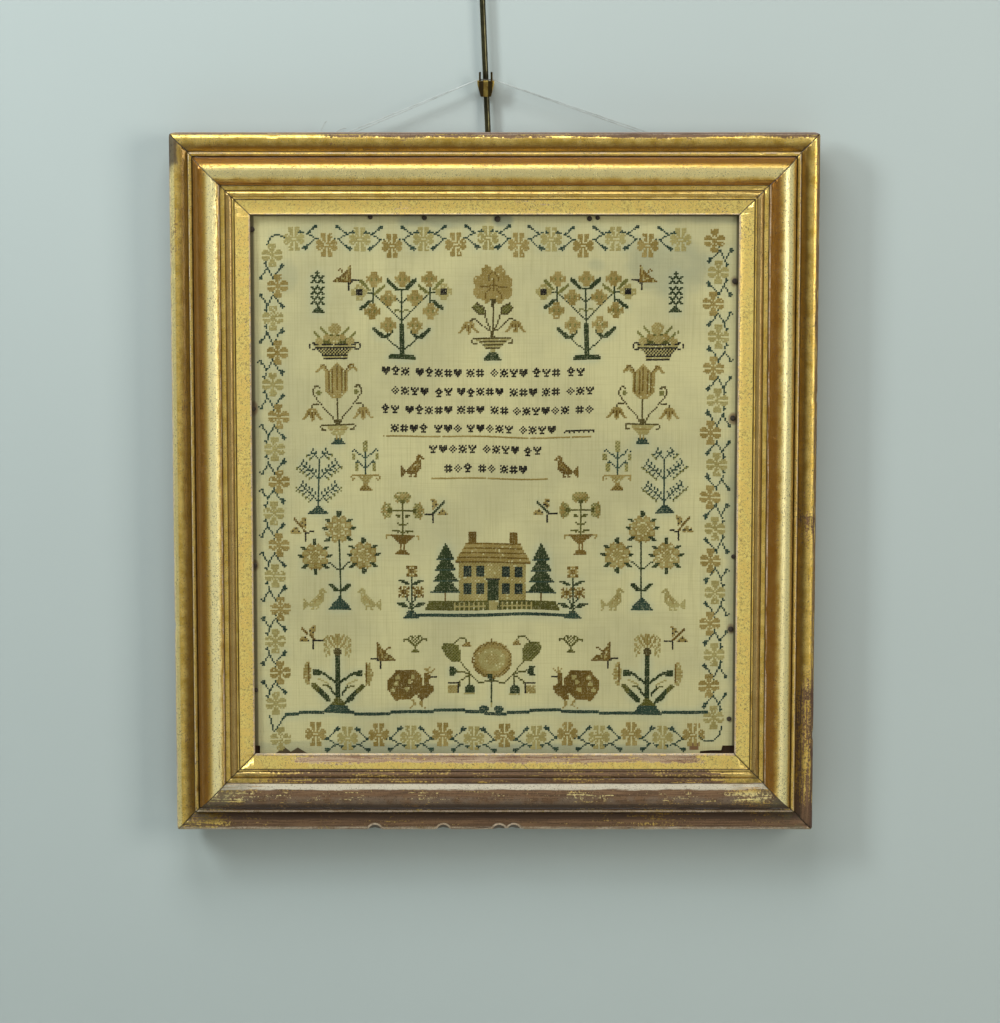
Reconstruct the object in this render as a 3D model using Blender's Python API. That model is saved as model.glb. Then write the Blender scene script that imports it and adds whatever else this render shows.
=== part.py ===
"""Framed cross stitch sampler, hanging by its wire from a hook on a thin rod.

Metres, +Z up. The front faces -Y. The origin is the centre of the rod's upper end.
Four mitred lengths of gilt moulding hold a board, and the cloth is tacked to the board's face.
"""
import math

import bmesh
import bpy
from mathutils import Matrix, Vector

MM = 0.001
GAP = 0.3 * MM

# Frame
FRAME_WIDTH = 445 * MM
FRAME_HEIGHT = 486 * MM
CORNER_WEAR = 2.4 * MM
FRAME_X = 9 * MM
FRAME_TOP_Z = -105 * MM
FRAME_BACK_Y = -7.5 * MM
FRAME_Z = FRAME_TOP_Z - FRAME_HEIGHT / 2

# Moulding section: inset from the frame's outer edge, and height above its back
OUTER_SIDE = 14.5 * MM
ROLL_CREST = (4.8 * MM, 19.0 * MM)
ROLL_FOOT = (12.5 * MM, 16.2 * MM)
FILLET = (13.3 * MM, 15.5 * MM, 19.5 * MM)
QUIRK_HEIGHT = 17.6 * MM
TORUS_FOOT = (16.3 * MM, 18.2 * MM)
TORUS_CREST = (24.5 * MM, 30.0 * MM)
TORUS_END = (31.0 * MM, 26.6 * MM)
BEAD_START = 31.2 * MM
BEAD_WIDTH = 1.85 * MM
BEAD_HEIGHT = 28.0 * MM
BEAD_VALLEY = 26.7 * MM
STEP = (35.5 * MM, 38.2 * MM, 25.1 * MM)
RIDGE = (39.0 * MM, 43.3 * MM, 24.6 * MM, 26.0 * MM)
LINE = (43.6 * MM, 44.4 * MM, 25.2 * MM)
GROOVE_DEPTH = 1.1 * MM
SLIP_START = (45.2 * MM, 24.9 * MM)
SLIP_END = (54.2 * MM, 22.8 * MM)
SIGHT_INSET = 55.3 * MM
SIGHT_HEIGHT = 22.5 * MM
LIP_BACK = 19.6 * MM
REBATE_INSET = 49.6 * MM
ARC_STEPS = 9

# Cloth and board
CLOTH_FRONT = 18.0 * MM
CLOTH_THICKNESS = 1.0 * MM
CLOTH_TUCK = 4.6 * MM
CLOTH_SHORT = 1.8 * MM
CLOTH_SHORT_FROM = 142.5 * MM
CLOTH_STEP = (159 * MM, 3.4 * MM)
CLOTH_CORNER_NOTCH = (3.4 * MM, 5.2 * MM)
BOARD_THICKNESS = 8 * MM
BOARD_TUCK = 5.2 * MM

# Tacks: place from the frame's middle, across and up, and head radius
TACK_TABLE = (
    ("left", -166.0, 177.5, 1.9), ("left", -166.2, 54.0, 1.7),
    ("left", -166.4, -55.5, 1.8), ("left", -166.2, -143.0, 1.6),
    ("right", 164.8, 142.0, 2.0), ("right", 164.2, 47.5, 1.9),
    ("right", 165.4, -49.0, 1.6), ("right", 164.0, -100.0, 1.9),
    ("right", 163.4, -163.5, 1.7),
    ("top", -85.0, 186.0, 1.7), ("top", -48.0, 185.5, 1.8),
    ("top", 2.0, 184.5, 2.1), ("top", 65.0, 184.8, 1.8), ("top", 70.5, 185.4, 1.6),
)
TACK_HEAD = 0.85 * MM
TACK_SHANK_RADIUS = 0.5 * MM
TACK_SHANK = 6 * MM
TACK_SIDES = 12

# Screw eyes in the backs of the side rails
EYE_FROM_MIDDLE = 195 * MM
EYE_LEFT_Z = FRAME_TOP_Z - 36 * MM
EYE_RIGHT_Z = FRAME_TOP_Z - 29 * MM
EYE_RING = 3.2 * MM
EYE_WIRE = 0.8 * MM
EYE_SHANK_RADIUS = 1.1 * MM
EYE_SHANK = 9 * MM
EYE_Y = FRAME_BACK_Y + GAP + EYE_RING + EYE_WIRE

# Rod, leaning a little, and the hook clamped on it
ROD_RADIUS = 2.0 * MM
ROD_LEAN = math.radians(2.4)
ROD_LENGTH = 147 * MM
ROD_SIDES = 24
ROD_CHAMFER = 0.4 * MM
HOOK_DOWN = 70 * MM
HOOK_TOP_HALF = 5.8 * MM
HOOK_FOOT_HALF = 3.6 * MM
HOOK_HEIGHT = 11 * MM
HOOK_FRONT = 5.4 * MM
HOOK_BACK = 3.4 * MM
HOOK_SOFT_EDGE = 0.35 * MM
PRONG_IN = 3.3 * MM
PRONG_OUT = 4.7 * MM
PRONG_UP = 6.0 * MM
PRONG_THICK = 1.4 * MM

# Hanging wire
WIRE_RADIUS = 0.3 * MM
WIRE_REST = WIRE_RADIUS + GAP
STRAND_SPACING = 0.9 * MM
WINDING_RADIUS = 1.08 * MM
WINDING_FROM = 104 * MM
WINDING_LENGTH = 9 * MM
WINDING_TURNS = 1.5
WINDING_STEPS = 14

# The wire's two loose ends, in mm: the tail from its tip back to the left eye, and the curl
LOOSE_TAIL = (
    (-93.0, -5.0, -102.4), (-96.5, -5.1, -102.9), (-100.4, -5.3, -105.8), (-103.2, -5.3, -110.5),
    (-107.5, -5.3, -115.8), (-114.0, -5.0, -120.0), (-134.0, -3.8, -127.6), (-177.0, -3.2, -143.4),
)
LOOSE_CURL = (
    (-110.6, -3.0, -109.0), (-110.0, -3.2, -103.5), (-108.3, -3.4, -99.5), (-106.6, -3.6, -97.6),
)

HOOK_X = HOOK_DOWN * math.sin(ROD_LEAN)
HOOK_Z = -HOOK_DOWN * math.cos(ROD_LEAN)


def clear_scene():
    for item in list(bpy.data.objects):
        bpy.data.objects.remove(item, do_unlink=True)


def make_material(name, colour, roughness, metallic):
    material = bpy.data.materials.new(name)
    material.use_nodes = True
    shader = material.node_tree.nodes["Principled BSDF"]
    shader.inputs["Base Color"].default_value = (*colour, 1.0)
    shader.inputs["Roughness"].default_value = roughness
    shader.inputs["Metallic"].default_value = metallic
    material.diffuse_color = (*colour, 1.0)
    return material


def make_object(name, mesh_builder, material):
    """Turn a bmesh into a named object, with its faces pointing out."""
    bmesh.ops.recalc_face_normals(mesh_builder, faces=mesh_builder.faces)
    mesh = bpy.data.meshes.new(name)
    mesh_builder.to_mesh(mesh)
    mesh_builder.free()
    mesh.shade_smooth()
    mesh.set_sharp_from_angle(angle=math.radians(35))
    item = bpy.data.objects.new(name, mesh)
    bpy.context.scene.collection.objects.link(item)
    if material:
        item.data.materials.append(material)
    return item


def use_as_cutter(item):
    item.hide_render = True
    item.display_type = "WIRE"


def cut(item, cutter, operation="DIFFERENCE"):
    use_as_cutter(cutter)
    modifier = item.modifiers.new(cutter.name, "BOOLEAN")
    modifier.operation = operation
    modifier.object = cutter


def prism(name, outline, low, high, material=None):
    """Extrude an outline of (x, z) points from y = low to y = high."""
    builder = bmesh.new()
    front = [builder.verts.new((x, low, z)) for x, z in outline]
    back = [builder.verts.new((x, high, z)) for x, z in outline]
    builder.faces.new(front)
    builder.faces.new(list(reversed(back)))
    count = len(outline)
    for index in range(count):
        following = (index + 1) % count
        builder.faces.new((front[index], back[index], back[following], front[following]))
    return make_object(name, builder, material)


def turned(name, rows, sides, material=None):
    """Turn rows of (radius, distance along +Z) about Z. A radius of 0 is a point."""
    builder = bmesh.new()
    rings = []
    for radius, along in rows:
        if radius == 0:
            rings.append([builder.verts.new((0, 0, along))])
            continue
        angles = [2 * math.pi * step / sides for step in range(sides)]
        rings.append([builder.verts.new((radius * math.cos(angle), radius * math.sin(angle), along))
                      for angle in angles])
    for lower, upper in zip(rings, rings[1:]):
        for step in range(sides):
            following = (step + 1) % sides
            corners = [lower[step % len(lower)], lower[following % len(lower)],
                       upper[following % len(upper)], upper[step % len(upper)]]
            builder.faces.new(list(dict.fromkeys(corners)))
    for ring in (rings[0], rings[-1]):
        if len(ring) > 1:
            builder.faces.new(ring)
    return make_object(name, builder, material)


def ellipse_rise(foot, crest):
    """Quarter ellipse that leaves its foot upright and is level at its crest."""
    points = []
    for step in range(ARC_STEPS + 1):
        angle = math.pi / 2 * step / ARC_STEPS
        points.append((crest[0] - (crest[0] - foot[0]) * math.cos(angle),
                       foot[1] + (crest[1] - foot[1]) * math.sin(angle)))
    return points


def falling_curve(crest, foot):
    """Parabola that is level at its crest and steepest at its foot, without the crest."""
    points = []
    for step in range(1, ARC_STEPS + 1):
        share = step / ARC_STEPS
        points.append((crest[0] + (foot[0] - crest[0]) * share,
                       crest[1] + (foot[1] - crest[1]) * share ** 2))
    return points


def hump(start, end, base, crest, steps=6):
    """Low round back between two insets."""
    points = []
    for step in range(steps + 1):
        share = step / steps
        points.append((start + (end - start) * share, base + (crest - base) * math.sin(math.pi * share)))
    return points


def moulding_section():
    """Closed outline of the moulding, as (inset, height above the back)."""
    edge = 0.3 * MM
    fillet_in, fillet_out, fillet_height = FILLET
    step_start, step_end, step_height = STEP
    ridge_start, ridge_end, ridge_base, ridge_crest = RIDGE
    line_start, line_end, line_height = LINE
    points = [(0, 0)]
    points += ellipse_rise((0, OUTER_SIDE), ROLL_CREST)
    points += falling_curve(ROLL_CREST, ROLL_FOOT)
    points += [(fillet_in - edge, ROLL_FOOT[1]), (fillet_in, fillet_height - edge),
               (fillet_in + edge, fillet_height), (fillet_out - edge, fillet_height),
               (fillet_out, fillet_height - edge), (fillet_out + edge, QUIRK_HEIGHT),
               (TORUS_FOOT[0] - edge, QUIRK_HEIGHT)]
    points += ellipse_rise(TORUS_FOOT, TORUS_CREST)
    points += falling_curve(TORUS_CREST, TORUS_END)
    for bead in range(2):
        start = BEAD_START + bead * BEAD_WIDTH
        points += hump(start, start + 0.9 * BEAD_WIDTH, BEAD_VALLEY, BEAD_HEIGHT, 5)
    groove_height = step_height - GROOVE_DEPTH
    points += [(step_start - 2 * edge, groove_height), (step_start - edge / 2, groove_height),
               (step_start, step_height), (step_end, step_height),
               (step_end + edge / 2, groove_height), (ridge_start - edge / 2, groove_height)]
    points += hump(ridge_start, ridge_end, ridge_base, ridge_crest)
    points += [(line_start, line_height), (line_end, line_height),
               (line_end + edge / 2, line_height - 1.4 * GROOVE_DEPTH),
               (SLIP_START[0] - edge / 2, line_height - 1.4 * GROOVE_DEPTH)]
    points += [SLIP_START, SLIP_END, (SLIP_END[0] + edge, SLIP_END[1] + edge),
               (SIGHT_INSET - edge, SLIP_END[1] + edge / 2), (SIGHT_INSET, SIGHT_HEIGHT)]
    points += [(SIGHT_INSET, LIP_BACK), (REBATE_INSET, LIP_BACK), (REBATE_INSET, 0)]
    return points


def mitred_rail(name, length, turn, reach, material):
    """One length of moulding: built as a top rail, then turned about the frame's middle."""
    half = length / 2 - GAP / math.sqrt(2)
    section = moulding_section()
    builder = bmesh.new()
    ends = []
    for side in (-1, 1):
        ends.append([builder.verts.new((side * (half - inset), -height, reach - inset))
                     for inset, height in section])
    left, right = ends
    count = len(section)
    for index in range(count):
        following = (index + 1) % count
        builder.faces.new((left[index], right[index], right[following], left[following]))
    builder.faces.new(left)
    builder.faces.new(list(reversed(right)))
    facing = Matrix.Rotation(turn, 3, "Y")
    bmesh.ops.rotate(builder, verts=builder.verts, cent=(0, 0, 0), matrix=facing)
    rail = make_object(name, builder, material)
    rail.location = (FRAME_X, FRAME_BACK_Y, FRAME_Z)
    return rail


def worn_corner(name, side, upright):
    """Cutter that takes the sharp tip off one outer corner of the frame."""
    outline = [(side * (FRAME_WIDTH / 2 + MM), upright * (FRAME_HEIGHT / 2 + MM))]
    centre = (FRAME_WIDTH / 2 - CORNER_WEAR, FRAME_HEIGHT / 2 - CORNER_WEAR)
    outline.append((side * (FRAME_WIDTH / 2 + MM), upright * centre[1]))
    for step in range(7):
        angle = math.pi / 2 * step / 6
        outline.append((side * (centre[0] + CORNER_WEAR * math.cos(angle)),
                        upright * (centre[1] + CORNER_WEAR * math.sin(angle))))
    outline.append((side * centre[0], upright * (FRAME_HEIGHT / 2 + MM)))
    cutter = prism(name, outline, -TORUS_CREST[1] - MM, MM)
    cutter.location = (FRAME_X, FRAME_BACK_Y, FRAME_Z)
    use_as_cutter(cutter)
    return cutter


def build_frame(material):
    wide, tall = FRAME_WIDTH, FRAME_HEIGHT
    rails = {
        "top": mitred_rail("rail_top", wide, 0, tall / 2, material),
        "right": mitred_rail("rail_right", tall, math.pi / 2, wide / 2, material),
        "bottom": mitred_rail("rail_bottom", wide, math.pi, tall / 2, material),
        "left": mitred_rail("rail_left", tall, -math.pi / 2, wide / 2, material),
    }
    for side, beside in ((-1, "left"), (1, "right")):
        for upright, above in ((1, "top"), (-1, "bottom")):
            cutter = worn_corner(f"wear_{beside}_{above}", side, upright)
            cut(rails[beside], cutter)
            cut(rails[above], cutter)
    return rails


def cloth_outline():
    """The sheet's edge: under the lip all round, but short at the lower right and the left corner."""
    sight_x = FRAME_WIDTH / 2 - SIGHT_INSET
    sight_z = FRAME_HEIGHT / 2 - SIGHT_INSET
    right, top = sight_x + CLOTH_TUCK, sight_z + CLOTH_TUCK
    short = -sight_z + CLOTH_SHORT
    step_x, step_up = CLOTH_STEP
    notch_x, notch_z = -sight_x + CLOTH_CORNER_NOTCH[0], -sight_z + CLOTH_CORNER_NOTCH[1]
    return [(right, top), (-right, top), (-right, notch_z), (notch_x, notch_z), (notch_x, -top),
            (CLOTH_SHORT_FROM, -top), (CLOTH_SHORT_FROM + MM, short - 0.6 * MM),
            (CLOTH_SHORT_FROM + 8 * MM, short), (step_x - 0.8 * MM, short),
            (step_x, short + step_up), (right, short + step_up)]


def build_cloth(material):
    low = -CLOTH_FRONT
    cloth = prism("sampler_cloth", cloth_outline(), low, low + CLOTH_THICKNESS, material)
    cloth.location = (FRAME_X, FRAME_BACK_Y, FRAME_Z)
    return cloth


def build_board(material):
    half_x = FRAME_WIDTH / 2 - SIGHT_INSET + BOARD_TUCK
    half_z = FRAME_HEIGHT / 2 - SIGHT_INSET + BOARD_TUCK
    outline = [(half_x, half_z), (-half_x, half_z), (-half_x, -half_z), (half_x, -half_z)]
    low = -CLOTH_FRONT + CLOTH_THICKNESS + GAP
    board = prism("board", outline, low, low + BOARD_THICKNESS, material)
    board.location = (FRAME_X, FRAME_BACK_Y, FRAME_Z)
    return board


def build_tacks(material, cloth, board):
    """Tacks of domed head and round shank, each through a hole in the cloth and into the board."""
    counts = {}
    face = FRAME_BACK_Y - CLOTH_FRONT - GAP
    facing = Matrix.Rotation(math.radians(90), 4, "X")
    for edge, across, up, radius in TACK_TABLE:
        counts[edge] = counts.get(edge, 0) + 1
        name = f"tack_{edge}_{counts[edge]}"
        radius *= MM
        rows = [(0, -TACK_SHANK), (TACK_SHANK_RADIUS, -TACK_SHANK + 1.2 * MM), (TACK_SHANK_RADIUS, 0),
                (radius, 0), (radius, 0.3 * TACK_HEAD), (0.75 * radius, 0.75 * TACK_HEAD), (0, TACK_HEAD)]
        place = Matrix.Translation((FRAME_X + across * MM, face, FRAME_Z + up * MM)) @ facing
        tack = turned(name, rows, TACK_SIDES, material)
        tack.matrix_world = place
        clear = TACK_SHANK_RADIUS + GAP
        hole = turned(f"hole_{name}", [(clear, -TACK_SHANK - GAP), (clear, MM)], TACK_SIDES)
        hole.matrix_world = place
        cut(cloth, hole)
        cut(board, hole)


def build_eye(name, across, height, material, rail):
    """Screw eye whose ring stands edge on, so that the wire passes through it along X."""
    bpy.ops.mesh.primitive_torus_add(major_radius=EYE_RING, minor_radius=EYE_WIRE,
                                     major_segments=24, minor_segments=10,
                                     rotation=(0, math.radians(90), 0))
    eye = bpy.context.object
    eye.name = name
    eye.data.shade_smooth()
    eye.data.materials.append(material)
    eye.location = (across, EYE_Y, height)
    facing = Matrix.Rotation(math.radians(90), 4, "X")
    root = Matrix.Translation((across, EYE_Y - EYE_RING, height)) @ facing
    shank = turned(f"{name}_shank", [(0, EYE_SHANK), (EYE_SHANK_RADIUS, EYE_SHANK - 2 * MM),
                                     (EYE_SHANK_RADIUS, 0)], 14)
    shank.matrix_world = root
    cut(eye, shank, "UNION")
    clear = EYE_SHANK_RADIUS + GAP
    hole = turned(f"hole_{name}", [(clear, -MM), (clear, EYE_SHANK + GAP)], 14)
    hole.matrix_world = root
    cut(rail, hole)
    return eye


def build_rod(material):
    rows = [(ROD_RADIUS - ROD_CHAMFER, -ROD_LENGTH), (ROD_RADIUS, -ROD_LENGTH + ROD_CHAMFER),
            (ROD_RADIUS, -ROD_CHAMFER), (ROD_RADIUS - ROD_CHAMFER, 0)]
    rod = turned("rod", rows, ROD_SIDES, material)
    rod.rotation_euler = (0, -ROD_LEAN, 0)
    return rod


def build_hook(material):
    """Tapered clamp on the rod, with a notch on each side of it where the wire lies."""
    outline = [(-HOOK_FOOT_HALF, -HOOK_HEIGHT), (HOOK_FOOT_HALF, -HOOK_HEIGHT),
               (HOOK_TOP_HALF, -0.2 * HOOK_HEIGHT), (HOOK_TOP_HALF, 0),
               (-HOOK_TOP_HALF, 0), (-HOOK_TOP_HALF, -0.2 * HOOK_HEIGHT)]
    hook = prism("hook", outline, -HOOK_FRONT, HOOK_BACK, material)
    hook.location = (HOOK_X, 0, HOOK_Z)
    soften = hook.modifiers.new("soften", "BEVEL")
    soften.width = HOOK_SOFT_EDGE
    soften.segments = 2
    for side in (-1, 1):
        foot = -1.0 * MM
        prong_outline = [(side * PRONG_IN, foot), (side * PRONG_OUT, foot),
                         (side * PRONG_OUT, PRONG_UP - 0.5 * MM), (side * (PRONG_OUT - 0.4 * MM), PRONG_UP),
                         (side * PRONG_IN, PRONG_UP)]
        prong = prism(f"prong_{side}", prong_outline,
                      -HOOK_FRONT + HOOK_SOFT_EDGE, -HOOK_FRONT + PRONG_THICK)
        prong.location = hook.location
        cut(hook, prong, "UNION")
    bore = turned("hook_bore", [(ROD_RADIUS + GAP, -ROD_LENGTH), (ROD_RADIUS + GAP, 0)], ROD_SIDES)
    bore.rotation_euler = (0, -ROD_LEAN, 0)
    cut(hook, bore)
    return hook


def smooth_path(route, between):
    """Points of a Catmull-Rom curve through the route, with a number of steps for each stretch."""
    points = [Vector(route[0])]
    for index, steps in enumerate(between):
        before = Vector(route[max(index - 1, 0)])
        start, end = Vector(route[index]), Vector(route[index + 1])
        after = Vector(route[min(index + 2, len(route) - 1)])
        for step in range(1, steps + 1):
            t = step / steps
            points.append(0.5 * ((2 * start) + (end - before) * t
                                 + (2 * before - 5 * start + 4 * end - after) * t ** 2
                                 + (3 * start - before - 3 * end + after) * t ** 3))
    return points


def add_wire(name, points, material):
    curve = bpy.data.curves.new(name, "CURVE")
    curve.dimensions = "3D"
    curve.bevel_depth = WIRE_RADIUS
    curve.bevel_resolution = 2
    curve.use_fill_caps = True
    spline = curve.splines.new("POLY")
    spline.points.add(len(points) - 1)
    for spot, point in zip(spline.points, points):
        spot.co = (*point, 1.0)
    wire = bpy.data.objects.new(name, curve)
    bpy.context.scene.collection.objects.link(wire)
    curve.materials.append(material)
    return wire


def turn_round_eye(across, height, side):
    """Wire in through the ring, round its lower limb and out below it. Side is +1 at the right eye."""
    limb = height - EYE_RING
    reach = EYE_WIRE + WIRE_REST
    points = []
    for step in range(7):
        angle = math.pi / 2 - math.pi * step / 6
        aside, up = reach * math.cos(angle), reach * math.sin(angle)
        points.append(Vector((across + side * aside, EYE_Y, limb + up)))
    return points


def over_hook(first, last, down_left, down_right, middle):
    """Short bends at the hook's two shoulders, for one strand."""
    return smooth_path([first + down_left * 1.5 * MM, first, middle, last, last + down_right * 1.5 * MM],
                       (1, 2, 2, 1))


def winding(start, along, below):
    """One and a half turns round the first strand, which runs from start along its direction."""
    front = Vector((0, -1, 0))
    points = []
    for step in range(WINDING_STEPS + 1):
        share = step / WINDING_STEPS
        angle = 2 * math.pi * WINDING_TURNS * share
        centre = start + along * WINDING_LENGTH * share
        points.append(centre + WINDING_RADIUS * (below * math.cos(angle) + front * math.sin(angle)))
    return points


def build_wire(material):
    """One wire: from its loose tail through the left eye, over the hook, round the right eye and back.

    On the way back it winds round the first strand, and its other end stands up as a loose curl.
    """
    left_turn = turn_round_eye(FRAME_X - EYE_FROM_MIDDLE, EYE_LEFT_Z, -1)
    right_turn = turn_round_eye(FRAME_X + EYE_FROM_MIDDLE, EYE_RIGHT_Z, 1)
    first_y = -(ROD_RADIUS + WIRE_REST)
    rest_z = HOOK_Z + WIRE_REST
    hook_left = Vector((HOOK_X - HOOK_TOP_HALF, first_y, rest_z - 0.1 * MM))
    hook_right = Vector((HOOK_X + HOOK_TOP_HALF, first_y, rest_z - 0.1 * MM))
    middle = Vector((HOOK_X, first_y, rest_z + 0.1 * MM))
    down_left = (left_turn[0] - hook_left).normalized()
    down_right = (right_turn[0] - hook_right).normalized()
    below = Vector((-down_left.z, 0, down_left.x))

    tail = [Vector(point) * MM for point in LOOSE_TAIL]
    points = smooth_path(tail, [2] * (len(tail) - 1))
    points += list(reversed(left_turn))
    points += [left_turn[0] - down_left * 10 * MM, hook_left + down_left * 8 * MM]
    points += over_hook(hook_left, hook_right, down_left, down_right, middle)
    points += [hook_right + down_right * 8 * MM, right_turn[0] - down_right * 10 * MM]
    points += right_turn

    aside = Vector((0, -STRAND_SPACING, 0))
    points += [right_turn[-1] - down_right * 12 * MM,
               hook_right + down_right * 9 * MM + aside + Vector((0, 0, -0.4 * MM))]
    points += reversed(over_hook(hook_left + aside, hook_right + aside,
                                 down_left, down_right, middle + aside))
    points += [hook_left + down_left * 30 * MM + below * 0.8 * MM + aside,
               hook_left + down_left * 95 * MM + below * 2.0 * MM + aside / 2]
    points += winding(hook_left + down_left * WINDING_FROM, down_left, below)
    curl = [points[-1]] + [Vector(point) * MM for point in LOOSE_CURL]
    points += smooth_path(curl, [2] * (len(curl) - 1))[1:]
    return add_wire("hanging_wire", points, material)


def main():
    clear_scene()
    gilt = make_material("gilt_wood", (0.42, 0.29, 0.08), 0.42, 0.7)
    cloth_material = make_material("cloth", (0.55, 0.51, 0.34), 0.95, 0.0)
    board_material = make_material("board", (0.10, 0.06, 0.03), 0.85, 0.0)
    rust = make_material("tack", (0.035, 0.02, 0.014), 0.7, 0.4)
    brass = make_material("brass", (0.28, 0.19, 0.07), 0.35, 1.0)
    wire_material = make_material("wire", (0.3, 0.31, 0.27), 0.4, 1.0)

    rails = build_frame(gilt)
    cloth = build_cloth(cloth_material)
    board = build_board(board_material)
    build_tacks(rust, cloth, board)
    build_eye("eye_left", FRAME_X - EYE_FROM_MIDDLE, EYE_LEFT_Z, brass, rails["left"])
    build_eye("eye_right", FRAME_X + EYE_FROM_MIDDLE, EYE_RIGHT_Z, brass, rails["right"])
    build_rod(brass)
    build_hook(brass)
    build_wire(wire_material)


main()
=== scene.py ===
# %% [markdown]
# # A framed cross stitch sampler
#
# The object is a worked cloth in a worn gilt moulding, hanging by its wire from a hook on a rod.
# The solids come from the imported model, which is the fixed frame that every piece here fits.
# Sizes are in metres, +Z is up, and the front faces -Y. The helpers below count in millimetres.

# %% Load the frame
import math
import random

import bmesh
import bpy
import numpy as np
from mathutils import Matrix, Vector, noise


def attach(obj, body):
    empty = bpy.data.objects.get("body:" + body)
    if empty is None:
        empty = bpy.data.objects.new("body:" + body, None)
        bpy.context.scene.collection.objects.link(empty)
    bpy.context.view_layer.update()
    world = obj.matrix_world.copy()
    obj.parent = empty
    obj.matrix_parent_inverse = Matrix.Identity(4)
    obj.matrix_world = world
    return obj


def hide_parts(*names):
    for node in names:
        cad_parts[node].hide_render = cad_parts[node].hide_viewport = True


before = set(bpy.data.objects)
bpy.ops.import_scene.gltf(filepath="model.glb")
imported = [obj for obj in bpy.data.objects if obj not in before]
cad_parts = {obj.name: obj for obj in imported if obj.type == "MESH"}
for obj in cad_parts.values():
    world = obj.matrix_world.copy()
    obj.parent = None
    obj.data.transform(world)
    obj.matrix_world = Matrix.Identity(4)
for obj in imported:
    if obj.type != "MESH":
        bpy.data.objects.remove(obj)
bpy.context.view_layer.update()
MM = 0.001

# %% The frame's own measures
MIDDLE = Vector((0.009, -0.0075, -0.348))
HALF_WIDTH = 222.5
HALF_HEIGHT = 243.0
CLOTH_FACE = 18.0
CLOTH_THICK = 1.0


def in_frame(across, up, forward):
    """A point given in mm from the middle of the frame's back."""
    return MIDDLE + Vector((across, -forward, up)) * MM


def add(name, data):
    """Put a mesh, lamp or camera into the scene as an object."""
    made = bpy.data.objects.new(name, data)
    bpy.context.scene.collection.objects.link(made)
    return made


print("frame middle", tuple(round(value, 4) for value in MIDDLE))

# %% [markdown]
# ## Camera
#
# The upright lines of the frame come a little closer together towards the bottom of the picture,
# so the camera stood above the middle and looked down by about eight degrees. Its distance sets
# how strong that effect is, and its lens then sets the size. The camera is moved, not shifted.

# %% Camera
CAMERA_DISTANCE = 2.5
CAMERA_DROP = math.radians(8.0)
SENSOR = 36
PIXEL = 0.691 * MM
LONG_SIDE = 1023


def add_camera():
    camera = add("camera", bpy.data.cameras.new("camera"))
    camera.data.sensor_width = SENSOR
    camera.data.lens = CAMERA_DISTANCE * SENSOR / (PIXEL * LONG_SIDE)
    aim = in_frame(3.7, -17.1, 21)
    back = Vector((0, -math.cos(CAMERA_DROP), math.sin(CAMERA_DROP)))
    camera.location = aim + back * CAMERA_DISTANCE
    camera.rotation_euler = (-back).to_track_quat("-Z", "Y").to_euler()
    bpy.context.scene.camera = camera
    return camera


camera = add_camera()
bpy.context.scene.view_settings.view_transform = "Standard"
print("lens", round(camera.data.lens, 1), "mm")

# %% [markdown]
# ## Shader maths
#
# A material is a net of nodes. Written as plain sums it is easier to read, so a small class wraps
# a socket and turns sums, powers and comparisons into Math nodes. Every other node comes from one
# method, `node`, which takes the node's type, its settings and its sockets.

# %% A socket that can be used in sums
class Amount:
    """The number that a socket carries."""

    def __init__(self, finish, socket):
        self.finish = finish
        self.socket = socket

    def __add__(self, other):
        return self.finish.maths("ADD", self, other)

    def __radd__(self, other):
        return self.finish.maths("ADD", other, self)

    def __sub__(self, other):
        return self.finish.maths("SUBTRACT", self, other)

    def __rsub__(self, other):
        return self.finish.maths("SUBTRACT", other, self)

    def __mul__(self, other):
        return self.finish.maths("MULTIPLY", self, other)

    def __rmul__(self, other):
        return self.finish.maths("MULTIPLY", other, self)

    def __truediv__(self, other):
        return self.finish.maths("DIVIDE", self, other)

    def __pow__(self, other):
        return self.finish.maths("POWER", self, other)

    def __lt__(self, other):
        return self.finish.maths("LESS_THAN", self, other)

    def __gt__(self, other):
        return self.finish.maths("GREATER_THAN", self, other)


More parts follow.
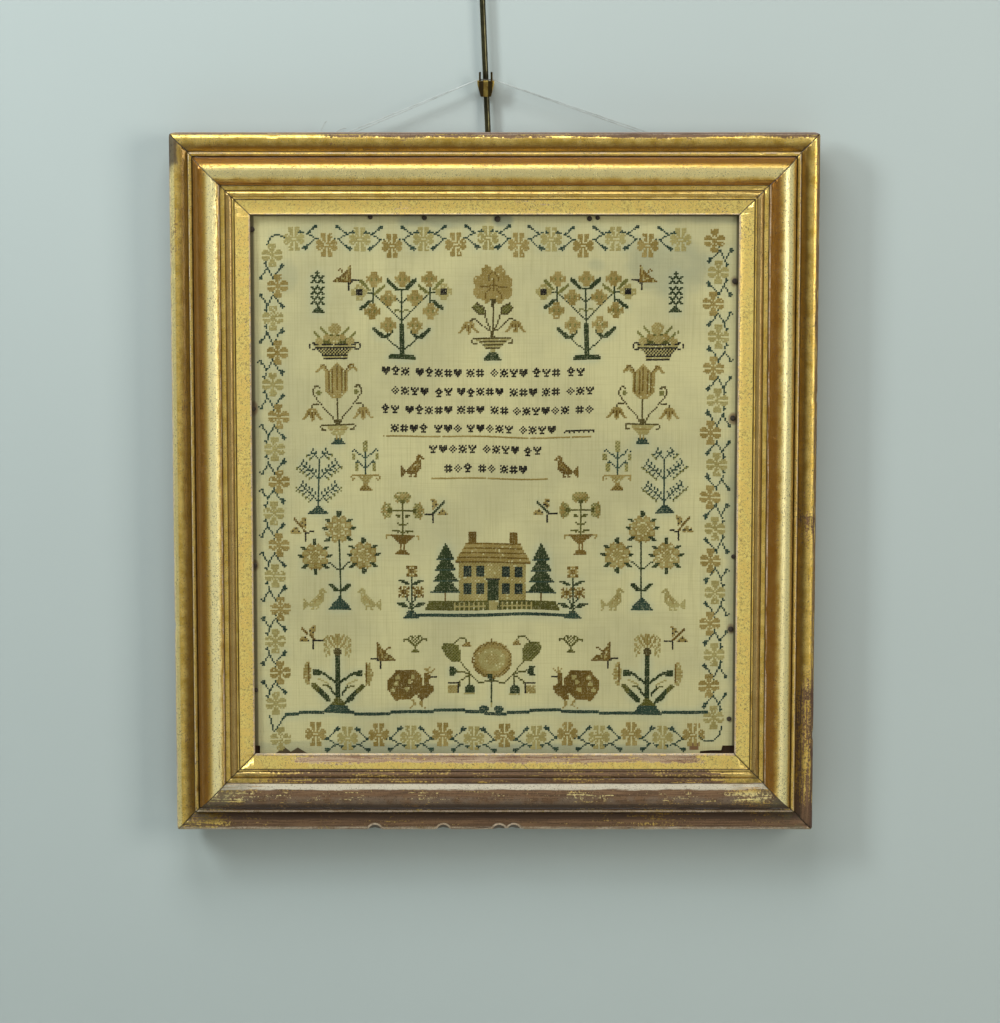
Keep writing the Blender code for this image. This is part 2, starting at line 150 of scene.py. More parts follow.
# %% A finish and its nodes
class Finish:
    """A material: its principled shader and the nodes that feed it."""

    def __init__(self, name, **constants):
        self.material = bpy.data.materials.new(name)
        self.material.use_nodes = True
        self.tree = self.material.node_tree
        self.shader = self.tree.nodes["Principled BSDF"]
        for socket, value in constants.items():
            self.shader.inputs[socket.replace("_", " ")].default_value = value

    def feed(self, socket, value):
        if isinstance(value, Amount):
            self.tree.links.new(value.socket, socket)
        else:
            socket.default_value = value

    def node(self, kind, settings=None, sockets=None, out=0):
        made = self.tree.nodes.new("ShaderNode" + kind)
        for name, value in (settings or {}).items():
            setattr(made, name, value)
        for name, value in (sockets or {}).items():
            self.feed(made.inputs[name], value)
        return Amount(self, made.outputs[out])

    def maths(self, operation, *values):
        return self.node("Math", {"operation": operation}, dict(enumerate(values)))

    def least(self, one, other):
        return self.maths("MINIMUM", one, other)

    def most(self, largest, *others):
        for other in others:
            largest = self.maths("MAXIMUM", largest, other)
        return largest

    def size(self, value):
        return self.maths("ABSOLUTE", value)

    def ramp(self, value, low, high, start=0.0, end=1.0):
        """A soft step from start to end as value goes from low to high. Low may be the larger one."""
        sockets = {"Value": value, "From Min": low, "From Max": high, "To Min": start, "To Max": end}
        return self.node("MapRange", {"interpolation_type": "SMOOTHSTEP"}, sockets)

    def band(self, value, low, high, soft):
        return self.ramp(value, low - soft, low + soft) * self.ramp(value, high - soft, high + soft, 1.0, 0.0)

    def colours(self, share, one, other):
        """Two colours mixed. Each is red, green and blue from 0 to 255, or what another mix gave."""
        one, other = (colour if isinstance(colour, Amount) else srgb(*colour) for colour in (one, other))
        return self.node("Mix", {"data_type": "RGBA"}, {0: share, 6: one, 7: other}, out=2)

    def layers(self, colour, *coats):
        """Coats laid over a colour, one after the other. Each coat is its share and its own colour."""
        for share, coat in coats:
            colour = self.colours(share, colour, coat)
        return colour

    def oval(self, across, up, x, z, reach_x, reach_z):
        """0 at the middle of an oval, 1 on its rim, and more outside."""
        return ((across - x) / reach_x) ** 2.0 + ((up - z) / reach_z) ** 2.0

    def place(self):
        """X, Y and Z in mm from the middle of the frame's back."""
        point = self.node("TexCoord", out=3)
        shifted = self.node("VectorMath", {"operation": "SUBTRACT"}, {0: point, 1: tuple(MIDDLE)})
        scaled = self.node("VectorMath", {"operation": "SCALE"}, {0: shifted, "Scale": 1000.0})
        return scaled, [self.node("SeparateXYZ", sockets={0: scaled}, out=axis) for axis in range(3)]

    def join(self, x, y, z):
        return self.node("CombineXYZ", sockets={0: x, 1: y, 2: z})

    def cloud(self, where, grain, detail=3.0, roughness=0.55, distortion=0.0):
        """Noise between 0 and 1 whose blotches are about grain mm across."""
        sockets = {"Vector": where, "Scale": 1.0 / grain, "Detail": detail,
                   "Roughness": roughness, "Distortion": distortion}
        return self.node("TexNoise", {"noise_dimensions": "3D"}, sockets)

    def bump(self, height, strength, depth):
        sockets = {"Height": height, "Strength": strength, "Distance": depth}
        self.feed(self.shader.inputs["Normal"], self.node("Bump", sockets=sockets))

    def set(self, socket, value):
        self.feed(self.shader.inputs[socket], value)


def srgb(red, green, blue):
    """A colour as the eye names it, 0 to 255, turned into the linear light that shaders use."""
    linear = [value / 255 / 12.92 if value <= 10 else ((value / 255 + 0.055) / 1.055) ** 2.4
              for value in (red, green, blue)]
    return (*linear, 1.0)


print("finish helpers ready")

# %% [markdown]
# ## Worn gilding
#
# The moulding is wood coated with gesso, red-brown bole and gold leaf. Years of dusting wore the
# leaf off the high places and the mitres opened. Shade is painted into the grooves and hollows, and
# highlights onto the torus and the left rail's outer edge. The mask for each of those comes from one
# number: how far a point lies in from the frame's outer edge. That is the smaller of the distances
# to the nearest side and to the nearest end, so one material serves all four lengths and changes
# over exactly at the mitres. An image could do it, but would not scale. Each colour is a coat laid
# over the one before, and its share says where it shows.

# %% Where the moulding's members lie, in mm in from its outer edge
TORUS = (16.0, 35.0)
# Where the painted highlight along the torus lies, in mm in from the outer edge.
TORUS_HIGHLIGHT = 26.5
FLAT = (38.8, 43.4)
SLIP = (45.4, 54.6)
SIGHT_EDGE = (54.4, 55.6)
GROOVES = ((15.6, 16.5), (34.9, 35.4), (38.4, 39.0), (43.2, 43.5), (44.5, 45.2))
CHIPPED_AT = (-84.0, -36.0, 3.0, 13.5)
print("members", {"torus": TORUS, "flat": FLAT, "slip": SLIP})

# %% Gilt finish
def make_gilding():
    gilt = Finish("worn_gilding", Coat_Weight=0.28, Coat_Roughness=0.2)
    point, (across, depth, up) = gilt.place()
    from_side = HALF_WIDTH - gilt.size(across)
    from_end = HALF_HEIGHT - gilt.size(up)
    inset = gilt.least(from_side, from_end)
    mitre = gilt.size(from_side - from_end)
    upright = from_side < from_end
    along = upright * up + (1.0 - upright) * across
    bottom = (1.0 - upright) * (up < 0.0)
    top = (1.0 - upright) * (up > 0.0)
    left = upright * (across < 0.0)
    right = upright * (across > 0.0)
    roll = gilt.ramp(inset, 12.4, 13.2, 1.0, 0.0)
    torus = gilt.band(inset, *TORUS, 0.3)
    slip = gilt.band(inset, *SLIP, 0.5)
    blotch = gilt.cloud(point, 34.0, 4.0)
    patch = gilt.cloud(point, 9.0, 5.0, 0.65)
    speck = gilt.cloud(point, 1.7, 4.0, 0.7)
    fine = gilt.cloud(point, 0.7, 3.0, 0.7)
    grain = gilt.cloud(gilt.join(along * 0.06, inset * 1.6, depth), 1.4, 4.0, 0.65)
    drift = patch - 0.5

    # The leaf: mottled, with painted shade in the hollow of the roll and on the torus away from its painted
    # highlight, which lies further in on the left rail and further out on the right.
    roll_shade = gilt.ramp(inset + drift * 3.0, 4.5, 9.5) * roll
    from_torus_highlight = gilt.size(inset - (TORUS_HIGHLIGHT + left * 3.0 - right * 4.5) + drift * 2.0)
    torus_highlight = torus * gilt.ramp(from_torus_highlight, 4.8, 1.5)
    leaf = gilt.layers(
        gilt.colours(gilt.ramp(patch, 0.35, 0.68), (242, 212, 118), (214, 178, 76)),
        (gilt.ramp(grain, 0.5, 0.8) * 0.25, (170, 134, 54)),
        (gilt.ramp(speck, 0.55, 0.75) * 0.5, (252, 242, 196)),
        (roll_shade * 0.85, (116, 86, 30)),
        (torus * gilt.ramp(from_torus_highlight, 2.5, 7.5) * 0.88, (150, 94, 22)),
        (torus_highlight * (0.7 + upright * 0.2), (255, 246, 184)),
        (slip * gilt.ramp(patch, 0.4, 0.6) * 0.65, (255, 238, 144)),
        (slip * gilt.ramp(speck * 0.6 + patch * 0.4, 0.5, 0.6) * 0.4, (168, 126, 48)),
        # Painted highlight along the left rail's outer edge.
        (left * gilt.band(inset, 0.8, 3.6, 0.6) * 0.8, (255, 240, 170)),
        (gilt.band(inset, *FLAT, 0.3) * (0.35 + upright * 0.35), (156, 130, 88)),
    )

    # Where the leaf is lost, most of all on the bottom rail, and the bole that shows there.
    away = gilt.ramp(mitre, 10.0, 46.0)
    inner_slip = gilt.ramp(inset + drift * 6.0, 48.0, 50.5) * slip
    rubbed = bottom * (gilt.band(inset, 0.0, 35.0, 0.5) * (0.72 + away * 0.3)
                       + gilt.band(inset, 35.2, 45.0, 0.3) * (0.35 + away * 0.5) + inner_slip * away)
    lower_right = right * gilt.ramp(up, -70.0, -190.0) * roll
    top_edge = top * gilt.ramp(inset, 5.0, 1.5) * gilt.ramp(across, -160.0, -60.0)
    few = gilt.ramp(blotch, 0.5, 0.75) * (roll * 0.5 + slip * 0.15 + 0.1)
    loss = gilt.ramp(speck * 0.35 + grain * 0.4 + blotch * 0.25 + rubbed * 0.21 + lower_right * 0.17
                     + top_edge * 0.2 + few * 0.14, 0.6, 0.66)
    # Painted shade on the bare bole in the hollows at the roll's inner side and at the torus's outer foot.
    deep = gilt.most(gilt.band(inset, 16.0, 21.0, 1.5), gilt.band(inset, 8.0, 12.8, 1.5))
    greyer = gilt.band(inset, 21.0, 26.5, 1.5) * gilt.ramp(patch, 0.35, 0.6)
    bole = gilt.layers(
        gilt.colours(gilt.ramp(grain, 0.35, 0.65), (84, 60, 38), (124, 94, 64)),
        (deep * 0.75, (52, 36, 22)),
        (greyer * 0.6, (122, 108, 92)),
    )
    pink = gilt.colours(gilt.ramp(grain, 0.35, 0.62), (146, 110, 84), (196, 170, 138))
    # Painted highlight on the bottom rail's torus where it faces up to the lamps, laid as a pale non-metallic
    # band.
    ragged = inset + (grain - 0.5) * 3.0 + drift * 2.0
    crest_highlight = bottom * gilt.band(ragged, 31.4, 36.5, 0.5) * (inset < 34.9)
    crest_highlight = crest_highlight * gilt.ramp(grain + away * 0.14, 0.36, 0.5)

    # Edges rubbed down to the gesso, with rings of it round the chips in the bottom edge.
    outer = gilt.ramp(inset, 1.7, 0.5) * gilt.ramp(grain, 0.4, 0.52) * (1.0 - right * 0.85)
    fillet = gilt.band(inset, 13.2, 13.9 + bottom * 0.9, 0.15)
    fillet = fillet * gilt.ramp(patch + bottom * 0.2, 0.35, 0.55)
    bottom_edge = bottom * gilt.band(inset, 0.0, 2.6, 0.7) * gilt.ramp(grain, 0.38, 0.5)
    inner_line = gilt.band(inset, 34.0, 35.0, 0.2) * upright * gilt.ramp(grain, 0.42, 0.52)
    edge = gilt.most(gilt.band(inset, *SIGHT_EDGE, 0.2), outer, fillet, bottom_edge, inner_line)
    chipped = 0.0
    for spot in CHIPPED_AT:
        ring = gilt.oval(across, inset, spot, 0.2, 4.6, 4.2)
        edge = gilt.most(edge, bottom * gilt.band(ring, 0.75, 1.5, 0.15))
        chipped = gilt.most(chipped, bottom * gilt.ramp(ring, 0.95, 0.7))
    chalk = gilt.colours(gilt.ramp(patch, 0.3, 0.7), (186, 160, 128), (222, 206, 182))

    # Painted shade in the grooves, dark open mitres and dirt in small spots, and darker places at edges and
    # corners.
    groove_shade = gilt.band(inset, 12.3, 13.0, 0.25)
    for low, high in GROOVES:
        groove_shade = gilt.most(groove_shade, gilt.band(inset, low, high, 0.2))
    spots = gilt.ramp(fine * 0.6 + speck * 0.3 + blotch * 0.1, 0.545, 0.585)
    groove_shade_and_dirt = gilt.most(groove_shade * 0.85, gilt.ramp(mitre, 0.8, 0.2) * 0.9, spots * 0.7)
    rim = top * gilt.ramp(inset, 1.3, 0.5) + right * gilt.ramp(inset + drift * 3.0, 3.0, 1.6)
    rim = rim * gilt.ramp(grain, 0.36, 0.46)
    tip = left * gilt.ramp(up + drift * 24.0, 210.0, 226.0) * gilt.ramp(inset + drift * 6.0, 7.5, 5.0)
    corner = bottom * gilt.ramp(mitre, 30.0, 6.0) * gilt.ramp(patch, 0.4, 0.58) * (1.0 - slip) * 0.5

    # Bare wood on the back and in the rebate, and a darker coat on the frame's outer flank.
    wood = gilt.cloud(gilt.join(along * 0.02, inset, depth), 1.6, 4.0)
    timber = gilt.colours(wood, (150, 116, 76), (104, 76, 46))
    behind = gilt.most(depth > -0.4, (inset > 49.0) * (depth > -19.8))
    flank = (inset < 0.25) * gilt.ramp(depth, -15.0, -12.0)

    worn = gilt.most(loss, groove_shade_and_dirt, behind, edge * 0.8, crest_highlight, tip, rim)
    gilt.set("Base Color", gilt.layers(
        leaf,
        (loss, gilt.colours(slip, bole, pink)),
        (crest_highlight * 0.9, (208, 202, 180)),
        (edge * gilt.ramp(speck, 0.3, 0.55), chalk),
        (rim * 0.85, (84, 54, 40)),
        (groove_shade_and_dirt, (62, 46, 20)),
        (chipped * 0.9, (80, 74, 64)),
        (tip * 0.9, (46, 34, 30)),
        (corner, (92, 88, 60)),
        (flank * 0.75, gilt.colours(patch, (150, 110, 58), (96, 62, 32))),
        (behind, timber),
    ))
    dull = slip * 0.34 + upright * ((1.0 - torus) * 0.14 + torus_highlight * 0.3)
    gilt.set("Metallic", (1.0 - worn) * (0.82 - dull))
    gilt.set("Roughness", 0.25 + torus * 0.04 + speck * 0.16 + worn * 0.3)
    gilt.set("Coat Weight", (1.0 - worn) * 0.28)
    gilt.bump(speck * 0.5 + grain * 0.3 + fine * 0.35 - loss * 0.7 - groove_shade_and_dirt * 0.4, 0.55, 0.0003)
    return gilt.material


gilding = make_gilding()
print("gilding nodes", len(gilding.node_tree.nodes))

# %% [markdown]
# ## The four rails
#
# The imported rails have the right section, but every line on them is straight and sharp. On the
# real frame the gesso wavers, the edges are knocked and the bottom rail has lost chips. Each rail
# here is a copy of its node, sliced across every few millimetres so that it can be shaped, and
# then pushed along its normals by smooth noise. Chips are short dips in the outer edge.

# %% Rails with the waver and knocks of age
SLICE = 3.0
CHIPS = (
    ("rail_bottom", -36.0, 4.5, 1.6), ("rail_bottom", 3.5, 4.0, 1.3), ("rail_bottom", 13.5, 5.5, 1.8),
    ("rail_bottom", 96.0, 3.0, 0.8), ("rail_bottom", -84.0, 4.5, 1.6), ("rail_right", -176.0, 4.0, 1.0),
    ("rail_right", 61.0, 3.0, 0.7), ("rail_left", -98.0, 3.5, 0.8), ("rail_left", 149.0, 3.0, 0.7),
    ("rail_top", 118.0, 3.0, 0.6), ("rail_top", -151.0, 3.5, 0.7),
)


def chip_depth(name, along):
    depth = 0.0
    for rail, middle, half, deep in CHIPS:
        if rail == name and abs(along - middle) < half:
            ragged = 0.75 + 0.5 * noise.noise(Vector((along * 1.1, middle, 3.0)))
            depth = max(depth, deep * ragged * (1 - ((along - middle) / half) ** 4))
    return depth


def round_torus(inset):
    """How high the big round of the moulding stands above the frame's back, in mm."""
    if inset < 25.5:
        return 18.2 + 11.7 * math.sqrt(max(1 - ((25.5 - inset) / 9.2) ** 2, 0))
    return 24.5 + 5.4 * math.sqrt(max(1 - ((inset - 25.5) / 9.9) ** 2, 0))


def cut(builder, spot, normal):
    """Slice a mesh across at a spot, so that it has points to move there."""
    everything = builder.verts[:] + builder.edges[:] + builder.faces[:]
    bmesh.ops.bisect_plane(builder, geom=everything, plane_co=spot, plane_no=normal, dist=1e-6)


def finished_mesh(builder, name, crease, material):
    """The worked mesh, smooth but for edges that turn by more than the crease, in degrees."""
    mesh = bpy.data.meshes.new(name)
    builder.to_mesh(mesh)
    builder.free()
    mesh.shade_smooth()
    mesh.set_sharp_from_angle(angle=math.radians(crease))
    mesh.materials.append(material)
    return mesh


def held(value):
    """A number kept between 0 and 1."""
    return min(max(value, 0.0), 1.0)


def shape_rail(name):
    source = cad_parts[name]
    builder = bmesh.new()
    builder.from_mesh(source.data)
    bmesh.ops.remove_doubles(builder, verts=builder.verts, dist=1e-6)
    lengthwise = name in ("rail_top", "rail_bottom")
    axis = 0 if lengthwise else 2
    half = HALF_WIDTH if lengthwise else HALF_HEIGHT
    normal = Vector((1, 0, 0)) if lengthwise else Vector((0, 0, 1))
    for step in range(int(-half / SLICE), int(half / SLICE) + 1):
        spot = Vector(MIDDLE)
        spot[axis] += step * SLICE * MM
        cut(builder, spot, normal)
    builder.normal_update()
    moves = []
    for vert in builder.verts:
        across, depth, up = (vert.co - MIDDLE) / MM
        inset = min(HALF_WIDTH - abs(across), HALF_HEIGHT - abs(up))
        along = across if lengthwise else up
        front = held((-depth - 9.0) / 5.0) * held((54.0 - inset) / 3.0)
        if 16.35 < inset < 34.95 and depth < -18.0:
            vert.co.y -= (round_torus(inset) + depth) * MM
        wave = noise.noise(vert.co * 55) * 0.16 + noise.noise(vert.co * 190) * 0.08
        slope = vert.normal.copy()
        slope[axis] = 0
        shift = slope.normalized() * wave * front
        knock = chip_depth(name, along) * held((7.0 - inset) / 5.0) * held((-depth - 8.0) / 5.0)
        inward = Vector((0, 0, 0))
        inward[2 - axis] = -math.copysign(1, up if lengthwise else across)
        shift = shift + (inward * 0.8 + Vector((0, 1, 0)) * 0.75) * knock
        moves.append((vert, shift * MM))
    for vert, shift in moves:
        vert.co += shift
    piece = add(f"{name}_gilded", finished_mesh(builder, f"{name}_gilded", 38, gilding))
    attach(piece, "root")
    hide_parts(name)
    return piece


rails = [shape_rail(name) for name in ("rail_top", "rail_bottom", "rail_left", "rail_right")]
print("rails", [len(rail.data.polygons) for rail in rails])

# %% [markdown]
# ## The chart
#
# A sampler is worked from counted threads, so it is planned as a chart: one square, one cross.
# The chart here is a dictionary from (column, row), counted from the middle of the frame, to the
# name of a thread. Motifs are drawn on it with lines, filled shapes and small patterns drawn as
# text, much as a maker would pencil them on squared paper.

# %% Drawing on the chart
PITCH = 1.105
chart = {}


def put(column, row, thread):
    chart[(math.floor(column + 0.5), math.floor(row + 0.5))] = thread


def line(points, thread, rows=1):
    """Crosses along a line through the points, one or more rows high."""
    for (left, low), (right, high) in zip(points, points[1:]):
        count = max(int(round(max(abs(right - left), abs(high - low)))), 1)
        for step in range(count + 1):
            share = step / count
            for extra in range(rows):
                put(left + (right - left) * share, low + (high - low) * share + extra, thread)


def fill(outline, thread, beside=None):
    """Crosses at every square inside an outline, with a second thread in a checked pattern."""
    columns = [point[0] for point in outline]
    rows = [point[1] for point in outline]
    for row in range(math.floor(min(rows)), math.ceil(max(rows)) + 1):
        for column in range(math.floor(min(columns)), math.ceil(max(columns)) + 1):
            inside = False
            for (x1, y1), (x2, y2) in zip(outline, outline[1:] + outline[:1]):
                if (y1 > row) != (y2 > row) and column < (x2 - x1) * (row - y1) / (y2 - y1) + x1:
                    inside = not inside
            if inside:
                put(column, row, beside if beside and (column + row) % 2 else thread)


DISC_CORNERS = 24
JUST_OFF = 0.01


def disc(column, row, across, down, thread, beside=None):
    """A round of 24 corners, set just off the squares so that no corner falls on one."""
    outline = [(column + across * math.cos(turn * math.pi / 12) + JUST_OFF,
                row + down * math.sin(turn * math.pi / 12) + JUST_OFF) for turn in range(DISC_CORNERS)]
    fill(outline, thread, beside)


def box(left, low, right, high, thread, beside=None):
    fill([(left, low), (right, low), (right, high), (left, high)], thread, beside)


THREADS = {"t": "tan", "s": "straw", "g": "green", "o": "olive", "d": "dark", "n": "brown", "m": "moss"}


def picture(rows, column, row, mirror=False):
    """A pattern drawn as text, one letter a cross, with its middle at column and row."""
    height, width = len(rows), max(len(text) for text in rows)
    for down, text in enumerate(rows):
        for aside, letter in enumerate(text):
            if letter in THREADS:
                x, y = aside - (width - 1) / 2, (height - 1) / 2 - down
                put(column + (-x if mirror else x), row + y, THREADS[letter])


print("chart squares are", PITCH, "mm")

# %% [markdown]
# ## Border
#
# The border is a common repeat: six-petalled flowers that step in and out, and from every outer
# one a thin stem runs each way to the next inner one, with a bud to the outside and a leaf to the
# inside. One flower and one sprig are charted, and the same code lays them along all four sides,
# with `out` pointing away from the middle.

# %% The border repeat
FLOWER = (
    "....ttttt....",
    "....ttttt....",
    "....ttttt....",
    ".....ttt.....",
    ".ttt.ttt.ttt.",
    "ttttt.t.ttttt",
    "ttttttttttttt",
    ".....ttt.....",
)
FLOWER = FLOWER + FLOWER[-2::-1]
LYING_FLOWER = (
    "...ttt.ttt...",
    "...ttt.ttt...",
    "...ttt.ttt...",
    "....tt.tt....",
    ".tt.tt.tt.tt.",
    "tttt.t.t.tttt",
    "ttttttttttttt",
    ".tttt...tttt.",
)
LYING_FLOWER = LYING_FLOWER + LYING_FLOWER[-2::-1]


def paler(rows):
    return tuple(text.replace("t", "s") for text in rows)


def sprig(spot, out, along, start):
    """One sprig beside an outer flower. Its own measures are (along the border, outward)."""
    def turned(forward, outward):
        return (spot[0] + out[0] * outward + along[0] * forward,
                spot[1] + out[1] * outward + along[1] * forward)

    stems = (((0, 4.6), (3.4, 3.7), (9.4, 0.3), (10.8, 0.2)), ((3.5, 3.6), (9.2, 7.4)),
             ((9.3, 0.1), (3.2, -5.0)))
    for stem in stems:
        line([turned(start + forward, outward) for forward, outward in stem], "sea")
    hook_of_stem = ((-1, 4.6), (0, 5.6))
    bud = ((9.2, 8.6), (10.2, 8), (10.2, 7), (9.2, 7), (8.2, 7.4))
    leaf = ((3, -6), (2, -6), (2, -5), (3.6, -6), (2.4, -7), (3, -5), (4, -5), (4, -4), (1, -6))
    for forward, outward in (*hook_of_stem, *bud, *leaf):
        put(*turned(start + forward, outward), "sea")


def border_side(first, last, count, out, along, outer_first, step_in):
    """Flowers at even steps from first to last, alternately outer and inner, and the sprigs between."""
    lying = out[0] == 0
    for index in range(count):
        share = index / (count - 1)
        outer = (index % 2 == 0) == outer_first
        step = 0 if outer else step_in
        spot = (first[0] + (last[0] - first[0]) * share - out[0] * step,
                first[1] + (last[1] - first[1]) * share - out[1] * step)
        flower = LYING_FLOWER if lying else FLOWER
        picture(paler(flower) if outer else flower, *spot)
        for way in (-1, 1):
            if outer and 0 <= index + way < count:
                sprig(spot, out, (along[0] * way, along[1] * way), 3.8 if lying else 5.0)


border_side((-123.7, 154.5), (114.9, 154.5), 13, (0, 1), (1, 0), True, 3.5)
border_side((-137.8, 145.3), (-138.2, -138.5), 15, (-1, 0), (0, -1), True, 3.0)
picture(paler(FLOWER), -135.2, -160.6)
border_side((139.4, 154.0), (137.6, -147.0), 16, (1, 0), (0, -1), False, 3.2)
border_side((-112.7, -160.4), (125.5, -160.4), 13, (0, -1), (1, 0), False, 2.0)
line([(-140.6, 152), (-138.5, 157), (-134, 158), (-130, 156)], "sea")
line([(129, -159), (132, -162), (138, -162), (142, -158), (143, -153)], "sea")
print("border crosses", len(chart))

# %% [markdown]
# ## Spot motifs
#
# Between the borders stand the motifs that such samplers share: flower trees, urns, baskets of
# fruit, birds and butterflies, nearly always in mirrored pairs. Each motif is a list of strokes in
# its own squares, with (0, 0) at its foot, written as plain words that `strokes` reads. An even
# motif needs one half: `draw` adds the other.

# %% Strokes
KINDS = ("line", "broad", "fill", "disc", "sew")


def strokes(words):
    """Strokes read from words: a kind, a thread, then its squares. A bar starts another of the same.

    Two threads with a slash between them make a checked pattern. A disc's first pair is its reach
    across and up, and sew lays a pattern that was drawn as text.
    """
    made = []
    words = iter(words.split())
    for word in words:
        if word in KINDS:
            made.append((word, next(words), []))
        elif word == "|":
            made.append((*made[-1][:2], []))
        else:
            made[-1][2].append(tuple(float(number) for number in word.split(",")))
    return made


def draw(motif, column, row, halves=True, side=1):
    """Draw a motif's strokes with its foot at column and row. side=-1 turns an uneven motif round."""
    for way in (1, -1) if halves else (side,):
        for kind, thread, points in motif:
            threads = thread.split("/")
            placed = [(column + way * x, row + y) for x, y in points]
            if kind in ("line", "broad"):
                line(placed, thread, 2 if kind == "broad" else 1)
            elif kind == "fill":
                fill(placed, *threads)
            elif kind == "disc":
                for spot in placed[1:]:
                    disc(*spot, *points[0], *threads)
            else:
                for spot in placed:
                    picture(PATTERNS[thread], *spot, mirror=way < 0)


def pair(motif, left, right, row, halves=True):
    draw(motif, left, row, halves, 1)
    draw(motif, right, row, halves, -1)


def half(*rows):
    """A pattern given as its left half and middle column."""
    return tuple(text + text[-2::-1] for text in rows)


def halves_only(*rows):
    """A pattern given as its left half, with no middle column."""
    return tuple(text + text[::-1] for text in rows)


PATTERNS = {
    "plus_flower": halves_only(
        "...tt", "...tt", "..stt", "tsttt", "tttmt", "tttmt", "tsttt", "..stt", "...tt", "...tt"),
    "dark_eye": halves_only(
        "...ss", "...ss", "..sss", "sssdd", "sssdd", "sssdd", "sssdd", "..sss", "...ss", "...ss"),
    "tier": half("....g", "gg.gg", ".ggg.", "..g..", ".ggg.", "gg.gg"),
    "bell": half("....ttt", "...tttt", "...tntn", "..ttntn", "..tt.tn", ".tt..tn", "tt...tt", "......t"),
}
print("stroke helpers ready")

# %% Upper motifs
tiered_plant = strokes("""
    fill green 0,-0.5 4.6,-0.5 0,4  line green 0,3 0,5  sew tier 0,7.5 0,13.7 0,20
    line green 0,23 0,25 | 1,24 0,24
""")
folded_butterfly = strokes("""
    fill brown -0.6,12 -0.6,-0.6 11.4,-0.6 8,3 5.6,4 3,7  line brown 4,5 6.6,8 7.6,7.6
    line tan 1,7 2,4 3,1  line dark -5,1.2 -1,1.2 | -1,0 1,-1 1.2,-5
    disc straw 0.8,0.8 1,9 5,2.4 8,0.8 2.4,2
""")
flower_tree = strokes("""
    fill green -0.6,-0.5 9,-0.5 7,2.6 -0.6,2.6  line green 0,2 0,43 | 0.9,2 0.9,21 | 0,43 3,43
    fill green 2.6,42.4 4.6,42.6 9.6,48 9.8,50.4 7.4,49.4 3,45  line green 0,34 4,38
    line moss 1,29 3,30 4,29.5 5,28
    line green 0,22.7 16.6,39.5 18,40.6 | 18,34 18,43.7 | 18,41.2 21,41.2
    fill moss 18.6,42 20.4,42.4 27,48.4 26.4,49.8 24.4,49 | 17,39.6 17.4,41.4 11,46.4 10.2,45.6 12,43
    fill green 18.6,36.4 20.6,36.4 26.4,32.2 26.2,30.2 23,31.6 19.4,34.6  line green 0,4 10.2,12.8
    fill green 10,12.4 13,12.6 18.6,17.6 18.8,19.8 16.4,18.8 10.4,14 | 10.6,12.6 10,14.6 6,18 5,17.4
        6.4,14.6 8.6,13  sew plus_flower 0,49.6 8.6,37.4 17.8,49.2 18.6,29 8.8,20.3
    sew dark_eye 26.4,41
""")
fruit_basket = strokes("""
    line dark 0,0 7,0  line straw 0,1 7,1  line dark 0,2 7.6,2
    fill dark/straw -0.6,2.6 7.4,2.6 11.6,7.4 -0.6,7.4  line dark 0,7 12,7  line straw 0,8 12,8
    line dark 0,9 12.4,9 | 12,10 14,10.6 15.4,9.4 15.4,7.6 14,6.4 12.4,6.6
    fill olive -0.6,9.6 10.6,9.6 8,13 4,16 -0.6,17  broad moss 4,14 8.4,19.4 | 7,12 12.2,16
    disc tan/straw 2.8,2.2 9.4,11.4  disc straw/tan 3.4,3 0,12.6  disc tan 2.2,2 4.8,14
    disc tan/straw 4,3.6 0,19.2
""")
tall_vase = strokes("""
    fill green -0.6,-0.5 6,-0.5 2,4.8 -0.6,4.8  broad straw 0,5 1,5  line bark 0,7 4,7
    line straw 0,8 5,8  line bark 0,9 6,9  line straw 0,10 7,10  line bark 0,11 8,11
    line straw 0,12 10,12  line bark 0,13 11,13 12.5,12 12,10 10,9.6
    fill bark -0.6,14 1.4,14 1,18 -0.6,18
    line bark 0,18 0,34 | 2,17.5 10.5,25 12.4,25.3 14,23.6 | 1.4,18 3.6,24 5,28
    fill moss/olive 4.4,28 5.2,32 10.4,34.8 13,32 9,28
    line bark 5,28 9,28 12.6,31.6 | 5,28 5.4,32 10.2,35  sew bell 14.4,19.4
    fill tan -0.6,55 0.4,55.1 2,57.5 5,58.4 7.4,55.8 7.6,52.6 10,51.8 12.2,49.5 12.2,46.6 10.6,44.8
        12.2,43 12,40 10,38 7,37 5.5,35 3,35 1,37 -0.6,37
    line brown 0,43 0,50 | 0,46 5,45 8,45 | 1,54 3,51 3,49 | 2,44 5,40 5,38
    fill bark -0.6,33 1,33 1.8,37.4 -0.6,37.4
""")
pair(tiered_plant, -109.8, 112.9, 109)
pair(folded_butterfly, -73.4, 71.8, -110, False)
pair(folded_butterfly, 90.7, -89.7, 127.7, False)
pair(flower_tree, -58, 57, 80)
pair(fruit_basket, -99.5, 101.3, 79.6)
draw(tall_vase, -1.3, 80)
print("with the upper motifs", len(chart))

